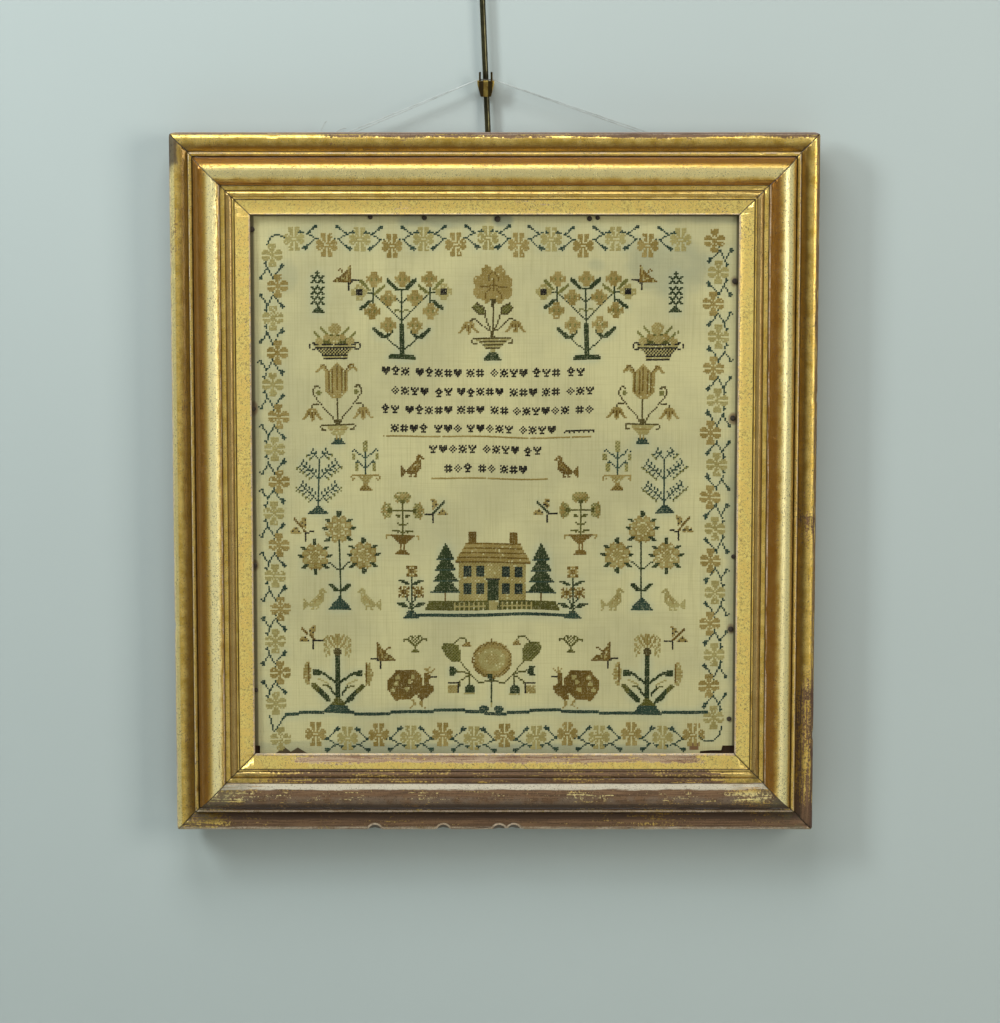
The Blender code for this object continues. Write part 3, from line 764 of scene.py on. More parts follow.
# %% Motifs at the two sides of the middle
PATTERNS["bird"] = (
    "...........nn..", "..........nnnn.", "..........nn.nn", "..........nnn..", ".........nnnn..",
    "........nntnn..", ".......nntntn..", "n.....nntntnn..", "nn...nntnnnnn..", "nnn.nnntnnnn...",
    "nnnnnnnnnnn....", "nnn.nnnnnn.....", "nn....n..n.....", "n....nn.nn.....",
)
PATTERNS["faded_bird"] = tuple(text.replace("n", "s") for text in PATTERNS["bird"])
PATTERNS["rays"] = ("t.t.t.t.t", "tt.t.t.tt", ".t.ttt.t.", "..t.t.t..", "tt.ooo.tt", ".t.ooo.t.")
PATTERNS["small_star"] = ("n.tt.n.", "nn.t.nn", ".tnnnt.", "ttnnntt", ".tnnnt.", "nn.t.nn", ".n.tt.n")
tulip_urn = strokes("""
    fill sea -0.6,-0.5 4.4,-0.5 2.2,3.2 -0.6,3.2  line tan 1,3 1,5
    fill straw -0.6,5.5 3,5.5 7.2,11.4 -0.6,11.4  line tan 0,9 5,9
    line bark 0,12 10,12 10.6,11 10,9.4 8.4,8.8 | 0,12 0,28 | 0.8,12 0.8,15 | 1.4,13 3.8,18.2 11.2,25.6
        15,30.7 15,33.4 13.6,36 12.1,36.3 10.9,34.5  disc moss 1.6,1.8 11.6,32
    line bark 11.2,25.6 15,25 16.3,23.6 16.4,22  sew bell 16.3,18
    fill tan -0.6,28.4 2.6,28.6 7,33 7,44 9,47 12.4,44 13,45 10,49.4 8.2,49.6 5,45.4 3,47.8 0,50.4
        -0.6,50  line brown 2.6,46 2.6,32 | 5,45 5,33 | 0,48 0,34  line straw 4,44 4,34
    line brown 5,45 8.2,49 10,48
""")
thorn_bush = strokes("""
    fill sea -0.6,-0.5 6.6,-0.5 1,4.8 -0.6,4.8  line sea 0,4 0,34 | 0,34 3.1,37 5,39
""")
for base, reach in ((34, 6), (21.3, 11), (7.5, 11)):
    thorn_bush.append(("line", "sea", [(0, base), (reach * 0.9, base + reach * 0.82)]))
    for twig in range(3, reach + 1, 2):
        x, y = twig, base + twig * 0.86
        thorn_bush.append(("line", "sea", [(x + 2.4, y - 1.6), (x, y), (x - 0.8, y + 2.8)]))
        thorn_bush.append(("line", "moss", [(x + 2.6, y - 2.6), (x + 3.4, y - 1.4)]))
potted_plant = strokes("""
    fill brown/tan -0.6,-0.5 4.4,-0.5 2,3 -0.6,3  line tan 0,3 0,5 | 1,3 1,5
    fill tan/straw -0.6,5 2.2,5 4.8,8.6 -0.6,8.6  line tan 0,9 7,9 8.6,8 8.4,6.4 7,6.6
    line sea 0,10 0,24 | 0,19 6.6,25 7.8,23.6 | 0,12.8 4.8,18.2 5.8,16.6
    fill straw/moss 6.4,18.6 8.8,18.6 8.8,23 6.4,23 | 4.4,12 6.8,12 6.8,16.2 4.4,16.2 | -1,24 1.6,24
        1.6,31 -1,31
""")
star_urn = strokes("""
    fill brown -0.6,-0.5 4.6,-0.5 2,3 -0.6,3  line brown 0.8,3 0.8,7
    fill brown -0.6,6.6 1.6,6.6 8,12.4 -0.6,12.4  line tan 8,12 10,12 9.6,10
    disc straw/moss 3.4,5 9.8,28 | 5.4,3.4 0,36.4
    line olive 0,12 0,34 | 0,13 2,15 5.6,15.4 | 2.6,14.4 4.6,14.6 | 0,18.4 3,19.6
    fill olive 1,23.4 3.6,23.6 5,25.6 2,25.4  line olive 0,28 8,28  sew rays 0,35
    fill olive 6.8,26.4 9,26.4 9,29.6 6.8,29.6
""")
for angle in range(-60, 61, 24):
    ray = math.radians(angle)
    star_urn.append(("line", "tan", [(9.6 + 1.2 * math.cos(ray), 28 + 1.6 * math.sin(ray)),
                                     (9.4 + 3.4 * math.cos(ray), 28 + 5.4 * math.sin(ray))]))
SPOTTED_BUTTERFLY = """
    fill tan 0.2,2.4 -0.8,9.8 2,9 3.8,6 | 2.6,-0.4 9.8,-0.8 9,1.4 6,3.6  broad body 0,0 7.4,7.4
    line dark -5,0.2 0,0 | 0.4,0 0.5,-5  disc dark 0.6,0.6 0.4,8 0.6,5 2.4,6 4,0.6 6,2.2 8,0.4
"""


def butterfly(body):
    return strokes(SPOTTED_BUTTERFLY.replace("body", body))


pair(tulip_urn, -98, 92.2, 27)
pair(thorn_bush, -110, 106.2, -17)
pair(potted_plant, -81, 76.8, -2)
pair(strokes("sew bird 0,0"), -50.6, 44.8, 12.6, False)
pair(star_urn, -58, 53.7, -43)
pair(butterfly("green"), -39.4, 33.9, -17, False)
pair(butterfly("brown"), 114.5, -117.8, -28.6, False)
pair(butterfly("brown"), 111.6, -113.3, -98.2, False)
print("with the side motifs", len(chart))

# %% Trees with round flower heads, and the birds under them
def flower_head(x, y, lower_bud):
    """Eight petals round a middle, green points between, and buds over it and maybe under it."""
    petals = [(x + 6.1 * math.cos(math.radians(angle)), y + 6.1 * math.sin(math.radians(angle)))
              for angle in range(22, 382, 45)]
    head = [
        ("disc", "straw/tan", [(3.4, 3.4), (x, y)]),
        ("disc", "tan", [(2.5, 2.5), *petals]),
        ("disc", "straw", [(1.3, 1.3), *petals]),
        ("disc", "green", [(1.5, 2.2), (x, y + 9.6)] + [(x, y - 9.6)] * lower_bud),
    ]
    for way in (-1, 1):
        for aside, high, slant in ((6.8, 5.6, -1), (8.9, 0.8, -1), (6.4, -6, 1)):
            corners = ((-2.2, slant), (0.2, slant * 1.2), (2.6, -slant), (-0.4, -slant * 1.2))
            head.append(("fill", "green", [(x + way * (aside + along), y + high + rise)
                                           for along, rise in corners]))
    return head


round_tree = strokes("""
    fill sea -0.6,-0.5 7.6,-0.5 0,8.4 -0.6,8.4  line green 0,8 0,45
    fill green 0,12 3.6,12 7,15.6 6.8,16.4 4,16 1,13.4  line green 0,24.9 7.6,31.2
""")
for centre in (-97.4, 92.4):
    draw(round_tree, centre, -78)
    for head in (flower_head(0.3, 51, 0), flower_head(-15.1, 34, 1), flower_head(15.1, 34, 1)):
        draw(head, centre, -78, False)
pair(strokes("sew faded_bird 0,0"), -112.6, -79, -71.6, False)
pair(strokes("sew faded_bird 0,0"), 74, 112.4, -71.6, False)
flower_spray = strokes("""
    fill sea -0.6,-0.5 5.8,-0.5 1,4.8 -0.6,4.8  line green 0,4 0,26 | 0,5 3.5,7.5
    fill green 3,6.8 6,7 10,9.4 8,10 4.4,9.4  line green 0,8 3.6,13
    fill green 0.6,20 3,20.4 7.8,23 5,23.6 2,22  sew small_star 4.2,16.4 0,29.2  disc green 1.4,1.4 0,8
""")
pair(flower_spray, -52.4, 48.7, -83)
print("with the round trees", len(chart))

# %% [markdown]
# ## Lower band
#
# A green line stands for the ground, and on it come carnation plants, two strutting birds with
# round tails, little shrubs and one great round flower in the middle.

# %% Lower motifs
PATTERNS["fan"] = half(
    "....s..ts", "..s.ts.tt", ".sst.tsst", "t.st.ttst", "ss.ts.tst", ".s.st.tst", "ts..ts.tt", "st.s.ts.t",
    ".st.s.t.s", "s.ss....s", "ts.s.....", "s.ts.....", "..st.....", ".s.s.....", ".s.......",
)
carnation = strokes("""
    fill sea -0.6,-0.5 8.2,-0.5 5.4,4 -0.6,4  fill olive -0.6,4 4.8,4 3.4,5.6 0,10 -0.6,10
    line green 0,9 0,36 | 0.9,9 0.9,36  sew fan 0,41.6  disc bark 2.6,2.6 0,38
    broad green 0,16 8,23 12,24
    fill green 11,22.8 15.8,23 15.8,26.8 13,27 11,25 | 4.2,4.6 8.4,6.4 13.4,12 12.4,15.4 5.4,8.4
    fill olive 11.8,12 13.4,12 17,15.8 16.4,17.6 14,17 11.8,14.6  broad green 2.4,10 6,15
    line olive 5.4,15 9.6,16  line straw 6,17 12,20
""")
for high in range(-7, 8):
    width = 3.4 - abs(high) * 0.36
    petal = [(18.6 - width * 0.4, 24.4 + high), (18.6 + width, 24.4 + high)]
    carnation.append(("line", "tan" if high % 2 else "straw", petal))
carnation += strokes("line brown 18,19 18,30")
strutter = strokes("""
    fill brown -10.8,-3 -10.8,3.5 -5,10 6,10 10.8,4.5 10.8,-4 7,-6 3.5,-9 -6,-10 | 12,7.4 15,7.4 15.8,5
        14.2,1.5 17.8,-1 17.4,-4 14,-7.4 10.5,-10 7.6,-8.4 9.5,-4 12,0.5  line dark 16,5.2 19,5
    line tan 14,8 12.2,10.6 | 14.4,8 14.8,11 | 15,8 18,10 | 4.5,-10 5.5,-13 3,-15 | 9.5,-11 9.5,-13
        12,-15 | 5.3,-10 6.3,-13 | 10.3,-11 10.3,-13
    disc straw 1.5,1.5 -4.5,4.8 4.8,5.5 -5.5,1 2.9,1.9 -7.7,-3.2 1.3,-2.6
""")
PATTERNS["shrub"] = half(
    "....oo.o", "...o.oo.", "oooo.o.o", "o..oo.o.", "....oo.o", ".....oo.", "......oo", ".......o",
    ".......o", "......oo", ".....ooo",
)
great_flower = strokes("""
    disc sea 3,2 4.4,1.6  line green 0,6 0,21  line straw 0,3 0,5  disc tan/brown 12.5,11.9 0,32.6
    disc tan 10.6,9.8 0,32.6  disc straw 8.4,7.6 0,32.6  disc tan/straw 4.4,4 0,33
    line brown 0,44 0,46 | 12,31 12,34  fill green -0.6,19.8 1.6,19.8 3,22 2,23.4 -0.6,23.4
""")
side_shoots = strokes("""
    line olive 0,19 8,18 13.9,23.9 19.4,31
    fill olive/moss 19.6,32 25,31.4 29.6,36 31.6,40 30.4,43 25,43.6 21,42 19.4,38
    line olive 24.6,43 20.6,47.4 17,47.4 16,45  fill tan/brown 14.6,44.8 16.8,44.8 19,41.6 12.6,41.6
    line olive 13.9,24 22,25.6 | 13.9,24 13.9,17 | 14,23 20,19 20.6,16
    fill green 21.6,24.6 24,28.6 27,28.6 26.4,25 27.4,22.4 24,22.6 | 11,15 13.9,17.6 17,15 17,12 11,12
    line straw 11,11 17,11  line dark 21,18 21,12 | 21,18 27,18
    fill straw/tan 21.8,12 27.2,12 27.2,17 21.8,17
""")
pair(carnation, -98.8, 96.3, -143)
pair(strokes("sew shrub 0,5"), -50.2, 47.7, -105)
pair(strutter, -56.3, 54.5, -126.2, False)
draw(great_flower, -1.8, -143)
draw(side_shoots, -1.8, -143)
GROUND = [(-132, -146), (-99, -144), (-79, -145), (-25, -143), (0, -145), (29, -143), (77, -145), (134, -144)]
line(GROUND, "sea", 2)
line([(-142, -146), (-139.4, -156.5), (-138.6, -156), (-132.5, -147)], "sea")
line([(-138, -155), (-133, -147)], "sea")
print("with the lower band", len(chart))

# %% [markdown]
# ## Middle
#
# Rows of small dark ornaments fill the middle, in groups with gaps between them, over two thin
# tan lines. They are the hearts, diamonds, trefoils and zigzags that band samplers have always
# shared. Under them stands a plain house of the usual sampler kind, with a fir on each side and a
# lawn. The ornaments and the house are this script's own design.

# %% Rows of ornament
HEART = ("dd.dd", "ddddd", "ddddd", ".ddd.", "..d..")
DIAMOND = ("..d..", ".d.d.", "d.d.d", ".d.d.", "..d..")
TREFOIL = ("..d..", ".ddd.", "dd.dd", ".ddd.", "..d..", ".ddd.")
KNOT = ("d.d.d", ".ddd.", "dd.dd", ".ddd.", "d.d.d")
PLANT = ("d.d.d", "dd.dd", ".ddd.", "..d..", ".ddd.")
ROSETTE = (".d.d.", "ddddd", ".d.d.", "ddddd", ".d.d.")
ORNAMENTS = (HEART, DIAMOND, TREFOIL, KNOT, PLANT, ROSETTE)
ROWS = (
    (-68, 72, (3, 5, 2, 4, 3, 2)), (-62, 59.5, (4, 2, 5, 3, 2, 3)),
    (-68, 48, (2, 5, 3, 2, 6, 2)), (-62, 36, (4, 3, 5, 4)),
    (-38, 22.5, (5, 4, 2)), (-29, 11, (3, 2, 3)),
)


def ornament_row(start, row, groups, first, spacing=6.0):
    column = start
    which = first
    for group in groups:
        for item in range(group):
            picture(ORNAMENTS[which % len(ORNAMENTS)], column, row)
            column += spacing
            which += 1 if item % 2 else 2
        which += 1
        column += 2.6
    return column


for number, (start, row, groups) in enumerate(ROWS):
    end = ornament_row(start, row, groups, number)
    limit = 64 if number < 4 else 31
    if number in (1, 3):
        zigzag = [(end + step * 1.5, row - 2 + step % 2) for step in range(max(int((limit - end) / 1.5), 0))]
        if len(zigzag) > 1:
            line(zigzag, "dark")
line([(-69, 31), (-20, 30.6), (60, 31.4)], "tan")
line([(-39, 5), (0, 4.6), (33, 5.2)], "tan")
print("with the rows of ornament", len(chart))

# %% House, firs and lawn
def house(column, roll_shade):
    box(column - 21, roll_shade, column + 21, roll_shade + 24, "straw", "tan")
    fill([(column - 24, roll_shade + 23.5), (column + 24, roll_shade + 23.5), (column + 17, roll_shade + 36.5),
          (column - 17, roll_shade + 36.5)], "tan")
    for row in range(0, 13, 3):
        reach = 23 - row * 0.54
        line([(column - reach, roll_shade + 24 + row), (column + reach, roll_shade + 24 + row)], "brown")
    for way in (-1, 1):
        chimney = column + way * 13
        box(chimney - 2.5, roll_shade + 36, chimney + 2.5, roll_shade + 43.5, "brown")
        for aside in (8, 16):
            window = column + way * aside
            for high in (4, 15):
                box(window - 2.4, roll_shade + high, window + 2.4, roll_shade + high + 6.5, "dark", "sea")
    box(column - 3.4, roll_shade, column + 3.4, roll_shade + 12.5, "green")
    line([(column - 4, roll_shade + 13), (column + 4, roll_shade + 13)], "dark")


def fir(column, roll_shade, tiers):
    line([(column, roll_shade), (column, roll_shade + 5)], "brown", 2)
    for tier in range(tiers):
        low = roll_shade + 5 + tier * 7
        reach = 8.6 - tier * 1.1
        fill([(column - reach, low), (column + reach + 0.5, low), (column + 0.5, low + 11)], "green")
        line([(column - reach, low), (column + reach, low)], "sea")


HOUSE_FOOT = -72
fill([(-44, -78.5), (41, -78.5), (38, -72.5), (-41, -72.5)], "olive")
house(-1, HOUSE_FOOT)
fir(-31, HOUSE_FOOT, 4)
fir(29, HOUSE_FOOT, 4)
line([(-53, -82), (51, -82)], "sea", 2)
fill([(-3, -78.5), (1.5, -78.5), (2.5, -72.5), (-4, -72.5)], "straw")
for aside in range(-24, 25, 3):
    if abs(aside) > 4:
        line([(-1 + aside, -78), (-1 + aside, -74)], "straw")
line([(-25, -75.6), (-6, -75.6)], "straw")
line([(4, -75.6), (23, -75.6)], "straw")
print("whole chart", len(chart), "crosses")

# %% [markdown]
# ## Cloth
#
# The ground is a fine plain weave, stretched over a board and tacked round its edge, so it lies
# nearly flat, with shallow waves between the tacks. It is one closed sheet, cut from its outline
# and sliced into a net of small squares. The same wave function then gives the height of the
# cloth to the sheet and to every stitch on it.

# %% Wave of the cloth
SIGHT_X = HALF_WIDTH - 55.3
SIGHT_Z = HALF_HEIGHT - 55.3
CLOTH_REACH_X = SIGHT_X + 4.6
CLOTH_REACH_Z = SIGHT_Z + 4.6
CLOTH_SQUARE = 3.2
WEAVE = 0.55


def cloth_wave(across, up):
    """How far the cloth stands forward of its flat place, in mm."""
    soft = noise.noise(Vector((across * 0.018, up * 0.014, 5.0))) * 0.42
    fine = noise.noise(Vector((across * 0.06, up * 0.05, 9.0))) * 0.12
    side_pull = math.exp(-((SIGHT_X - across) / 7) ** 2) * math.sin(up * 0.075) * 0.22
    return max(min(soft + fine + side_pull, 0.45), -0.2)


def cloth_outline():
    """The cloth's corners. Its lower edge stops short of the lip at the right and at the far left."""
    right, top = CLOTH_REACH_X, CLOTH_REACH_Z
    short = -SIGHT_Z + 1.8
    shortest = -SIGHT_Z + 5.2
    notch = -SIGHT_X + 3.4
    return [(right, top), (-right, top), (-right, shortest), (notch, shortest), (notch, -top), (142.5, -top),
            (143.5, short - 0.6), (150.5, short), (158.2, short), (159, shortest), (right, shortest)]


print("wave at the middle", round(cloth_wave(0, 0), 2), "mm")

# %% Cloth finish
# Grey ovals: real stains, except the long thin ones along the sight edges (up 183 to 186 either way, across
# 165 to 166 either way), which are painted shade beside the lip.
STAINS_AND_LIP_SHADE = (
    (-57, 184, 12, 5, 0.6), (-30, 184, 22, 6, 0.5), (6, 184, 7, 5, 0.8), (70, 153, 7, 5, 0.35),
    (118, 152, 30, 22, 0.5), (-143, 146, 9, 12, 0.3), (-166, 60, 6, 60, 0.35), (165, -60, 6, 90, 0.45),
    (0, -186, 170, 5, 0.7), (-120, -183, 60, 4, 0.45), (150, 186, 40, 6, 0.5), (108, 28, 16, 12, 0.14),
    (-62, -28, 40, 26, 0.10), (40, -60, 50, 30, 0.08),
)
PATCH = (139.2, -183.2, 3.4, 2.7)
RUST = ((-166, 54, 3, 5, 0.8), (164.6, 47, 3.4, 4, 0.8),
        (-166.5, -55, 3, 4, 0.7), (164, -100, 3, 4, 0.7), (164.5, 142, 3, 4, 0.6))


def make_cloth_finish():
    cloth = Finish("aged_plain_weave", Specular_IOR_Level=0.1, Sheen_Weight=0.06, Sheen_Roughness=0.5)
    point, (across, depth, up) = cloth.place()
    wander = cloth.cloud(point, 22.0, 3.0)
    mottle = cloth.cloud(point, 60.0, 4.0)
    warp = cloth.cloud(cloth.join(across, depth, up * 0.02), 0.9, 3.0, 0.65)
    weft = cloth.cloud(cloth.join(across * 0.02, depth, up), 0.9, 3.0, 0.65)
    drift = wander - 0.5
    grey_stain_and_shade = 0.0
    for *oval, strength in STAINS_AND_LIP_SHADE:
        away = cloth.oval(across, up, *oval)
        grey_stain_and_shade = cloth.most(grey_stain_and_shade, cloth.ramp(away + drift * 2.4, 1.4, 0.1) * strength * 0.8)
    away = cloth.most(cloth.size(across - PATCH[0]) / PATCH[2], cloth.size(up - PATCH[1]) / PATCH[3])
    brown = cloth.ramp(away + drift * 0.5, 1.15, 0.85)
    for *oval, strength in RUST:
        away = cloth.oval(across, up, *oval)
        brown = cloth.most(brown, cloth.ramp(away + drift * 1.6, 1.6, 0.4) * strength)
    # Painted shade under a pucker in the cloth's lower edge at the bottom left.
    first_peak = 3.6 - cloth.size(across + 147.0) * 0.8
    pucker_shade = cloth.most(first_peak, 3.0 - cloth.size(across + 137.5) * 0.62) - (up + 186.6)
    # Painted shadow of the lip on the cloth along the left, right and top sight edges.
    lip = cloth.most(cloth.ramp(across, -SIGHT_X + 3.2, -SIGHT_X + 1.6),
                     cloth.ramp(across, SIGHT_X - 2.2, SIGHT_X - 1.0),
                     cloth.ramp(up, SIGHT_Z - 1.8, SIGHT_Z - 0.8))
    dye = cloth.node("Attribute", {"attribute_name": "dye"}, out=2)
    wave = 2 * math.pi / WEAVE
    over = cloth.maths("SINE", across * wave) * cloth.maths("SINE", up * wave)
    cloth.set("Base Color", cloth.layers(
        cloth.colours(cloth.ramp(mottle, 0.35, 0.65), (205, 200, 150), (189, 185, 141)),
        (cloth.ramp(warp, 0.45, 0.72) * 0.32, (158, 152, 106)),
        (cloth.ramp(weft, 0.45, 0.72) * 0.2, (164, 157, 110)),
        (grey_stain_and_shade, (128, 138, 122)),
        (brown * 0.85, (104, 62, 36)),
        (cloth.ramp(pucker_shade, 0.0, 0.5) * 0.9, (60, 44, 28)),
        (lip * 0.8, (58, 52, 38)),
        (dye * 0.32, (164, 178, 154)),
    ))
    cloth.set("Roughness", 0.82 + mottle * 0.14)
    cloth.bump(over * 0.5 + warp * 0.7 + weft * 0.7, 0.5, 0.00025)
    return cloth.material


plain_weave = make_cloth_finish()
print("cloth nodes", len(plain_weave.node_tree.nodes))

# %% Cloth sheet
def dye_map(spread=2.6):
    """How much blue-green thread lies near a place, from 0 to 1, for the pale stain round it."""
    marks = {}
    for (column, row), thread in chart.items():
        if thread in ("sea", "green"):
            key = (round(column * PITCH / spread), round(row * PITCH / spread))
            marks[key] = marks.get(key, 0) + 1

    def near(across, up):
        column, row = across / spread, up / spread
        total = 0.0
        for x in range(round(column) - 2, round(column) + 3):
            for z in range(round(row) - 2, round(row) + 3):
                if (x, z) in marks:
                    total += marks[(x, z)] * math.exp(-((x - column) ** 2 + (z - row) ** 2) / 1.4)
        return min(total / 8.0, 1.0)

    return near


def make_cloth():
    builder = bmesh.new()
    corners = [builder.verts.new(in_frame(x, z, CLOTH_FACE)) for x, z in cloth_outline()]
    builder.faces.new(corners)
    for normal, reach in ((Vector((1, 0, 0)), CLOTH_REACH_X), (Vector((0, 0, 1)), CLOTH_REACH_Z)):
        for step in range(int(-reach / CLOTH_SQUARE), int(reach / CLOTH_SQUARE) + 1):
            cut(builder, MIDDLE + normal * step * CLOTH_SQUARE * MM, normal)
    builder.normal_update()
    extruded = bmesh.ops.extrude_face_region(builder, geom=builder.faces[:])
    for item in extruded["geom"]:
        if isinstance(item, bmesh.types.BMVert):
            item.co.y += CLOTH_THICK * MM
    bmesh.ops.recalc_face_normals(builder, faces=builder.faces)
    for vert in builder.verts:
        across, _, up = (vert.co - MIDDLE) / MM
        vert.co.y -= cloth_wave(across, up) * MM
    mesh = finished_mesh(builder, "worked_cloth", 50, plain_weave)
    near = dye_map()
    dye = mesh.attributes.new("dye", "FLOAT", "POINT")
    places = [(vertex.co - MIDDLE) / MM for vertex in mesh.vertices]
    dye.data.foreach_set("value", [near(place.x, place.z) for place in places])
    piece = add("worked_cloth", mesh)
    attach(piece, "root")
    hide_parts("sampler_cloth")
    return piece


worked_cloth = make_cloth()
print("cloth faces", len(worked_cloth.data.polygons))

# %% [markdown]
# ## Stitches
#
# Each cross is two short legs of thread, the second lying over the first. Both ends of a leg sink
# into the cloth and its middle stands proud. Thousands of separate objects would be slow, so one
# leg is worked out as a small table of points, and numpy lays a copy at every square of the
# chart. All crosses of one thread are joined in one mesh, which takes that thread's colour.

# %% Thread colours
THREAD_COLOURS = {
    "tan": ((160, 144, 86), (134, 116, 58)),
    "straw": ((168, 160, 104), (148, 138, 82)),
    "brown": ((118, 96, 40), (90, 70, 24)),
    "bark": ((88, 79, 39), (66, 58, 28)),
    "olive": ((94, 92, 38), (70, 70, 28)),
    "moss": ((126, 124, 66), (102, 102, 50)),
    "green": ((54, 66, 35), (38, 50, 27)),
    "sea": ((52, 73, 58), (37, 55, 45)),
    "dark": ((42, 38, 28), (26, 24, 20)),
}


def make_thread(name, light, deep):
    thread = Finish(f"{name}_silk", Specular_IOR_Level=0.12)
    point, _ = thread.place()
    fade = thread.cloud(point, 16.0, 3.0)
    strand = thread.cloud(point, 0.5, 3.0, 0.7)
    thread.set("Base Color", thread.colours(thread.ramp(fade * 0.6 + strand * 0.4, 0.36, 0.62), light, deep))
    thread.set("Roughness", 0.5 + strand * 0.25)
    thread.bump(strand, 0.6, 0.0001)
    return thread.material


threads = {name: make_thread(name, *pair) for name, pair in THREAD_COLOURS.items()}
print("threads", sorted(threads))

# %% Crosses
LEG_HALF = 0.63
LEG_WIDTH = 0.88
LEG_RISE = (0.26, 0.44)
LEG_SUNK = -0.12
EDGE_DROP = -0.16
UNEVEN = 0.05
WORN_SHARE = {"straw": 0.06, "tan": 0.03}


def leg_points(angle, rise):
    """Three cross sections of one leg: sunk end, raised middle, sunk end. As (across, up, forward)."""
    points = []
    for along, high, width in ((-LEG_HALF, LEG_SUNK, 0.9), (0.0, rise, 1.0), (LEG_HALF, LEG_SUNK, 0.9)):
        for aside, lift in ((-0.5, EDGE_DROP), (-0.26, 0.0), (0.26, 0.0), (0.5, EDGE_DROP)):
            reach = along * math.sqrt(2)
            offset = aside * LEG_WIDTH * width
            points.append((reach * math.cos(angle) - offset * math.sin(angle),
                           reach * math.sin(angle) + offset * math.cos(angle), high + lift))
    return points


def leg_faces(start):
    faces = []
    for section in (0, 4):
        for side in range(3):
            first = start + section + side
            faces.append((first, first + 1, first + 5, first + 4))
    return faces


def make_crosses(name, squares, chance):
    under, over = LEG_RISE
    template = np.array(leg_points(math.radians(-45), under) + leg_points(math.radians(45), over))
    faces = np.array(leg_faces(0) + leg_faces(12))
    count = len(squares)
    points = np.empty((count, 24, 3))
    for index, (column, row) in enumerate(squares):
        drift_x = 1.1 * noise.noise(Vector((column * 0.02, row * 0.02, 1)))
        drift_z = 1.6 * noise.noise(Vector((column * 0.022, row * 0.022, 7)))
        across = column * PITCH + drift_x + chance.gauss(0, UNEVEN)
        up = row * PITCH + drift_z + chance.gauss(0, UNEVEN)
        full = chance.uniform(0.88, 1.12)
        forward = CLOTH_FACE + cloth_wave(across, up)
        points[index, :, 0] = MIDDLE.x + (across + template[:, 0] * full) * MM
        points[index, :, 1] = MIDDLE.y - (forward + template[:, 2] * full) * MM
        points[index, :, 2] = MIDDLE.z + (up + template[:, 1] * full) * MM
    corners = (faces[None, :, :] + 24 * np.arange(count)[:, None, None]).reshape(-1, 4)
    mesh = bpy.data.meshes.new(f"crosses_{name}")
    mesh.from_pydata(points.reshape(-1, 3), [], corners)
    mesh.shade_smooth()
    mesh.materials.append(threads[name])
    piece = add(f"crosses_{name}", mesh)
    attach(piece, "root")
    return piece


def work_the_chart():
    chance = random.Random(7)
    squares = {name: [] for name in THREAD_COLOURS}
    for square in sorted(chart):
        thread = chart[square]
        if chance.random() >= WORN_SHARE.get(thread, 0.0):
            squares[thread].append(square)
    return [make_crosses(name, squares[name], chance) for name in THREAD_COLOURS if squares[name]]


crosses = work_the_chart()
print("crosses", {piece.name: len(piece.data.polygons) // 12 for piece in crosses})

# %% [markdown]
# ## Metal and wood
#
# The rod is thin tarnished brass, the hook and eyes are older and browner, the wire is dull
# steel, and the tacks have rusted. Each keeps its solid from the model and gets a finish whose
# stains and scratches are as large as the real ones.

# %% Metal finishes
def make_metal(name, light, deep, stain, metallic, roughness, grain, streak=1.0, middle=None, near=1.5):
    metal = Finish(name)
    point, (across, depth, up) = metal.place()
    cloudy = metal.cloud(point, grain, 4.0)
    pits = metal.cloud(point, grain * 0.15, 4.0, 0.7)
    drawn = metal.cloud(metal.join(across, depth, up * streak), grain * 0.2, 3.0)
    colour = metal.colours(metal.ramp(cloudy, 0.35, 0.65), light, deep)
    # Painted shade in bands beside the middle line: on the hook it stands for the sides of a bent plate, on
    # the wire for where it runs next to the hook.
    if middle is not None:
        painted_shade_band = metal.band(metal.size(across - middle), near, 4.6, 0.35)
        colour = metal.colours(painted_shade_band * 0.9, colour, (34, 27, 14))
    stained = metal.ramp(pits * 0.6 + cloudy * 0.4, 0.52, 0.68)
    metal.set("Base Color", metal.colours(stained, colour, stain))
    metal.set("Metallic", metallic * (1.0 - stained * 0.7))
    metal.set("Roughness", roughness + stained * 0.3 + drawn * 0.1)
    metal.bump(pits * 0.6 + drawn * 0.4, 0.4, 0.00012)
    return metal.material


HOOK_X = -6.1
finishes = {
    "rod": make_metal("tarnished_brass", (84, 82, 58), (58, 56, 38), (44, 42, 30), 0.92, 0.24, 9.0, 0.05),
    "hook": make_metal("old_brass", (172, 152, 80), (136, 110, 50), (60, 46, 24), 0.9, 0.3, 3.0,
                       middle=HOOK_X),
    "eye_left": make_metal("eye_brass", (150, 124, 64), (108, 84, 42), (60, 46, 26), 0.85, 0.4, 3.0),
    "hanging_wire": make_metal("dull_steel", (188, 197, 196), (168, 176, 174), (150, 154, 148), 0.25, 0.45,
                               8.0, middle=HOOK_X, near=-1.0),
}
finishes["eye_right"] = finishes["eye_left"]
rust = make_metal("rust", (66, 58, 46), (46, 42, 36), (86, 64, 44), 0.3, 0.65, 1.6)
for name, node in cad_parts.items():
    if name.startswith("tack_"):
        finishes[name] = rust
print("metal finishes for", len(finishes), "nodes")

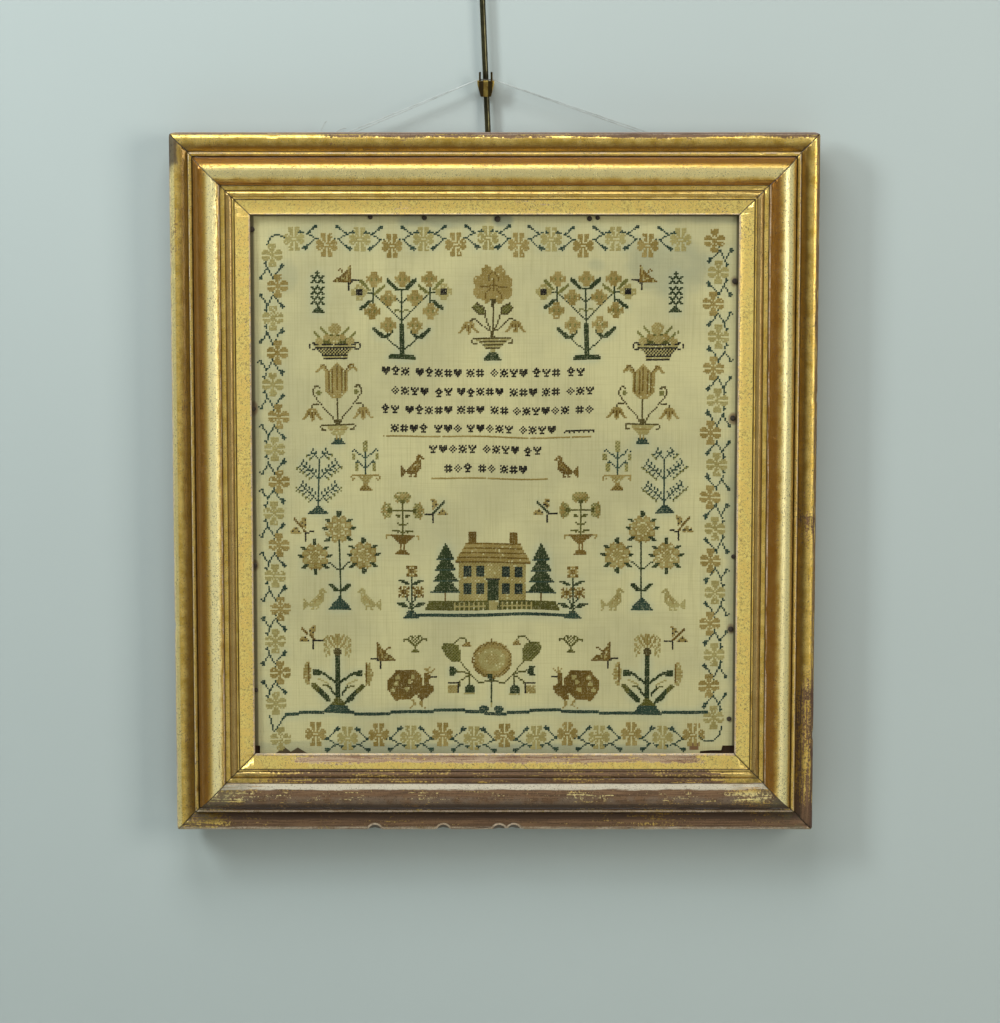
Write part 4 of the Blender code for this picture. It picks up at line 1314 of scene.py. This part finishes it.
# %% Board finish
def make_board_finish():
    board = Finish("old_board", Specular_IOR_Level=0.25)
    point, (across, depth, up) = board.place()
    grain = board.cloud(board.join(across, depth, up * 0.035), 2.2, 5.0, 0.6, 0.4)
    knots = board.cloud(board.join(across, depth, up * 0.3), 40.0, 3.0)
    wood = board.colours(board.ramp(grain, 0.35, 0.7), (112, 84, 54), (72, 50, 30))
    wood = board.colours(board.ramp(knots, 0.5, 0.75) * 0.5, wood, (58, 40, 24))
    edge = board.most(board.size(across) / SIGHT_X, board.size(up) / SIGHT_Z)
    shaded = board.ramp(edge, 0.96, 0.985) * (depth < -14.0)
    board.set("Base Color", board.colours(shaded * 0.8, wood, (34, 24, 16)))
    board.set("Roughness", 0.72 + grain * 0.2)
    board.bump(grain, 0.5, 0.0004)
    return board.material


finishes["board"] = make_board_finish()
for name, finish in finishes.items():
    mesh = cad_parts[name].data
    mesh.materials.clear()
    mesh.materials.append(finish)
print("finished nodes", len(finishes))

# %% [markdown]
# ## Stage and lights
#
# The backdrop is a plain pale wall close behind the frame, so that the frame's soft shadows fall
# on it, and a pale floor. The wall's back lets light and view through, which leaves the object
# open to view from behind. A cool lamp stands high at the left and a warmer, weaker one at the
# right, as the paired highlights on the moulding show, with a lamp over the frame. A dim card in
# front and a weak sky fill the shade. The lamp behind casts no shadow, so that its light reaches
# the frame's back through the wall.

# %% Wall and floor
def make_stage_finish(name, colour):
    plain = Finish(name, Roughness=0.9, Specular_IOR_Level=0.1)
    point, _ = plain.place()
    soft = plain.cloud(point, 260.0, 2.0)
    plain.set("Base Color", plain.colours(soft, colour, [value - 4 for value in colour]))
    return plain


def add_panel(name, corners, finish):
    mesh = bpy.data.meshes.new(name)
    mesh.from_pydata(corners, [], [(0, 1, 2, 3)])
    mesh.materials.append(finish.material)
    panel = add(name, mesh)
    return panel


def one_sided(finish):
    """Show the panel from its front only."""
    tree = finish.tree
    back = finish.node("NewGeometry", out=6)
    clear = tree.nodes.new("ShaderNodeBsdfTransparent")
    mixed = tree.nodes.new("ShaderNodeMixShader")
    tree.links.new(back.socket, mixed.inputs[0])
    tree.links.new(finish.shader.outputs[0], mixed.inputs[1])
    tree.links.new(clear.outputs[0], mixed.inputs[2])
    tree.links.new(mixed.outputs[0], tree.nodes["Material Output"].inputs["Surface"])
    return finish


WALL_Y = 0.0055
FLOOR_Z = -1.25
wall_finish = one_sided(make_stage_finish("pale_wall", (187, 200, 200)))
floor_finish = make_stage_finish("pale_floor", (214, 214, 208))
wall_corners = [(-3, WALL_Y, FLOOR_Z), (3, WALL_Y, FLOOR_Z), (3, WALL_Y, 2.2), (-3, WALL_Y, 2.2)]
floor_corners = [(x, y, FLOOR_Z) for x, y in ((-5, -5), (5, -5), (5, 5), (-5, 5))]
wall = add_panel("wall", wall_corners, wall_finish)
floor = add_panel("floor", floor_corners, floor_finish)
print("wall faces", tuple(round(value, 1) for value in wall.data.polygons[0].normal))

# %% Lights
def add_lamp(name, place, aim, size, power, colour):
    lamp = add(name, bpy.data.lights.new(name, "AREA"))
    lamp.data.shape = "RECTANGLE"
    lamp.data.size, lamp.data.size_y = size
    lamp.data.energy = power
    lamp.data.color = colour
    lamp.location = place
    lamp.rotation_euler = (Vector(aim) - Vector(place)).to_track_quat("-Z", "Y").to_euler()
    return lamp


CENTRE = in_frame(0, 0, 20)
lamps = [
    add_lamp("lamp_left", (-1.5, -1.15, 0.78), CENTRE, (0.4, 0.8), 23, (0.95, 1.0, 0.99)),
    add_lamp("lamp_right", (1.4, -1.35, 0.02), CENTRE, (0.7, 1.0), 14, (1.0, 0.93, 0.83)),
    add_lamp("lamp_top", (-0.2, -0.8, 1.0), CENTRE, (0.9, 0.5), 12, (1.0, 0.99, 0.97)),
    add_lamp("card_front", (0.0, -3.0, -0.2), CENTRE, (2.2, 1.4), 2.5, (1.0, 0.97, 0.9)),
    add_lamp("lamp_behind", (0.0, 2.2, 0.9), CENTRE, (1.2, 1.2), 26, (1.0, 1.0, 1.0)),
]
lamps[-1].data.use_shadow = False
world = bpy.data.worlds.new("soft_room")
bpy.context.scene.world = world
world.use_nodes = True
sky = world.node_tree.nodes["Background"].inputs
sky["Color"].default_value = srgb(214, 220, 222)
sky["Strength"].default_value = 0.095
print("lamps", [lamp.name for lamp in lamps])
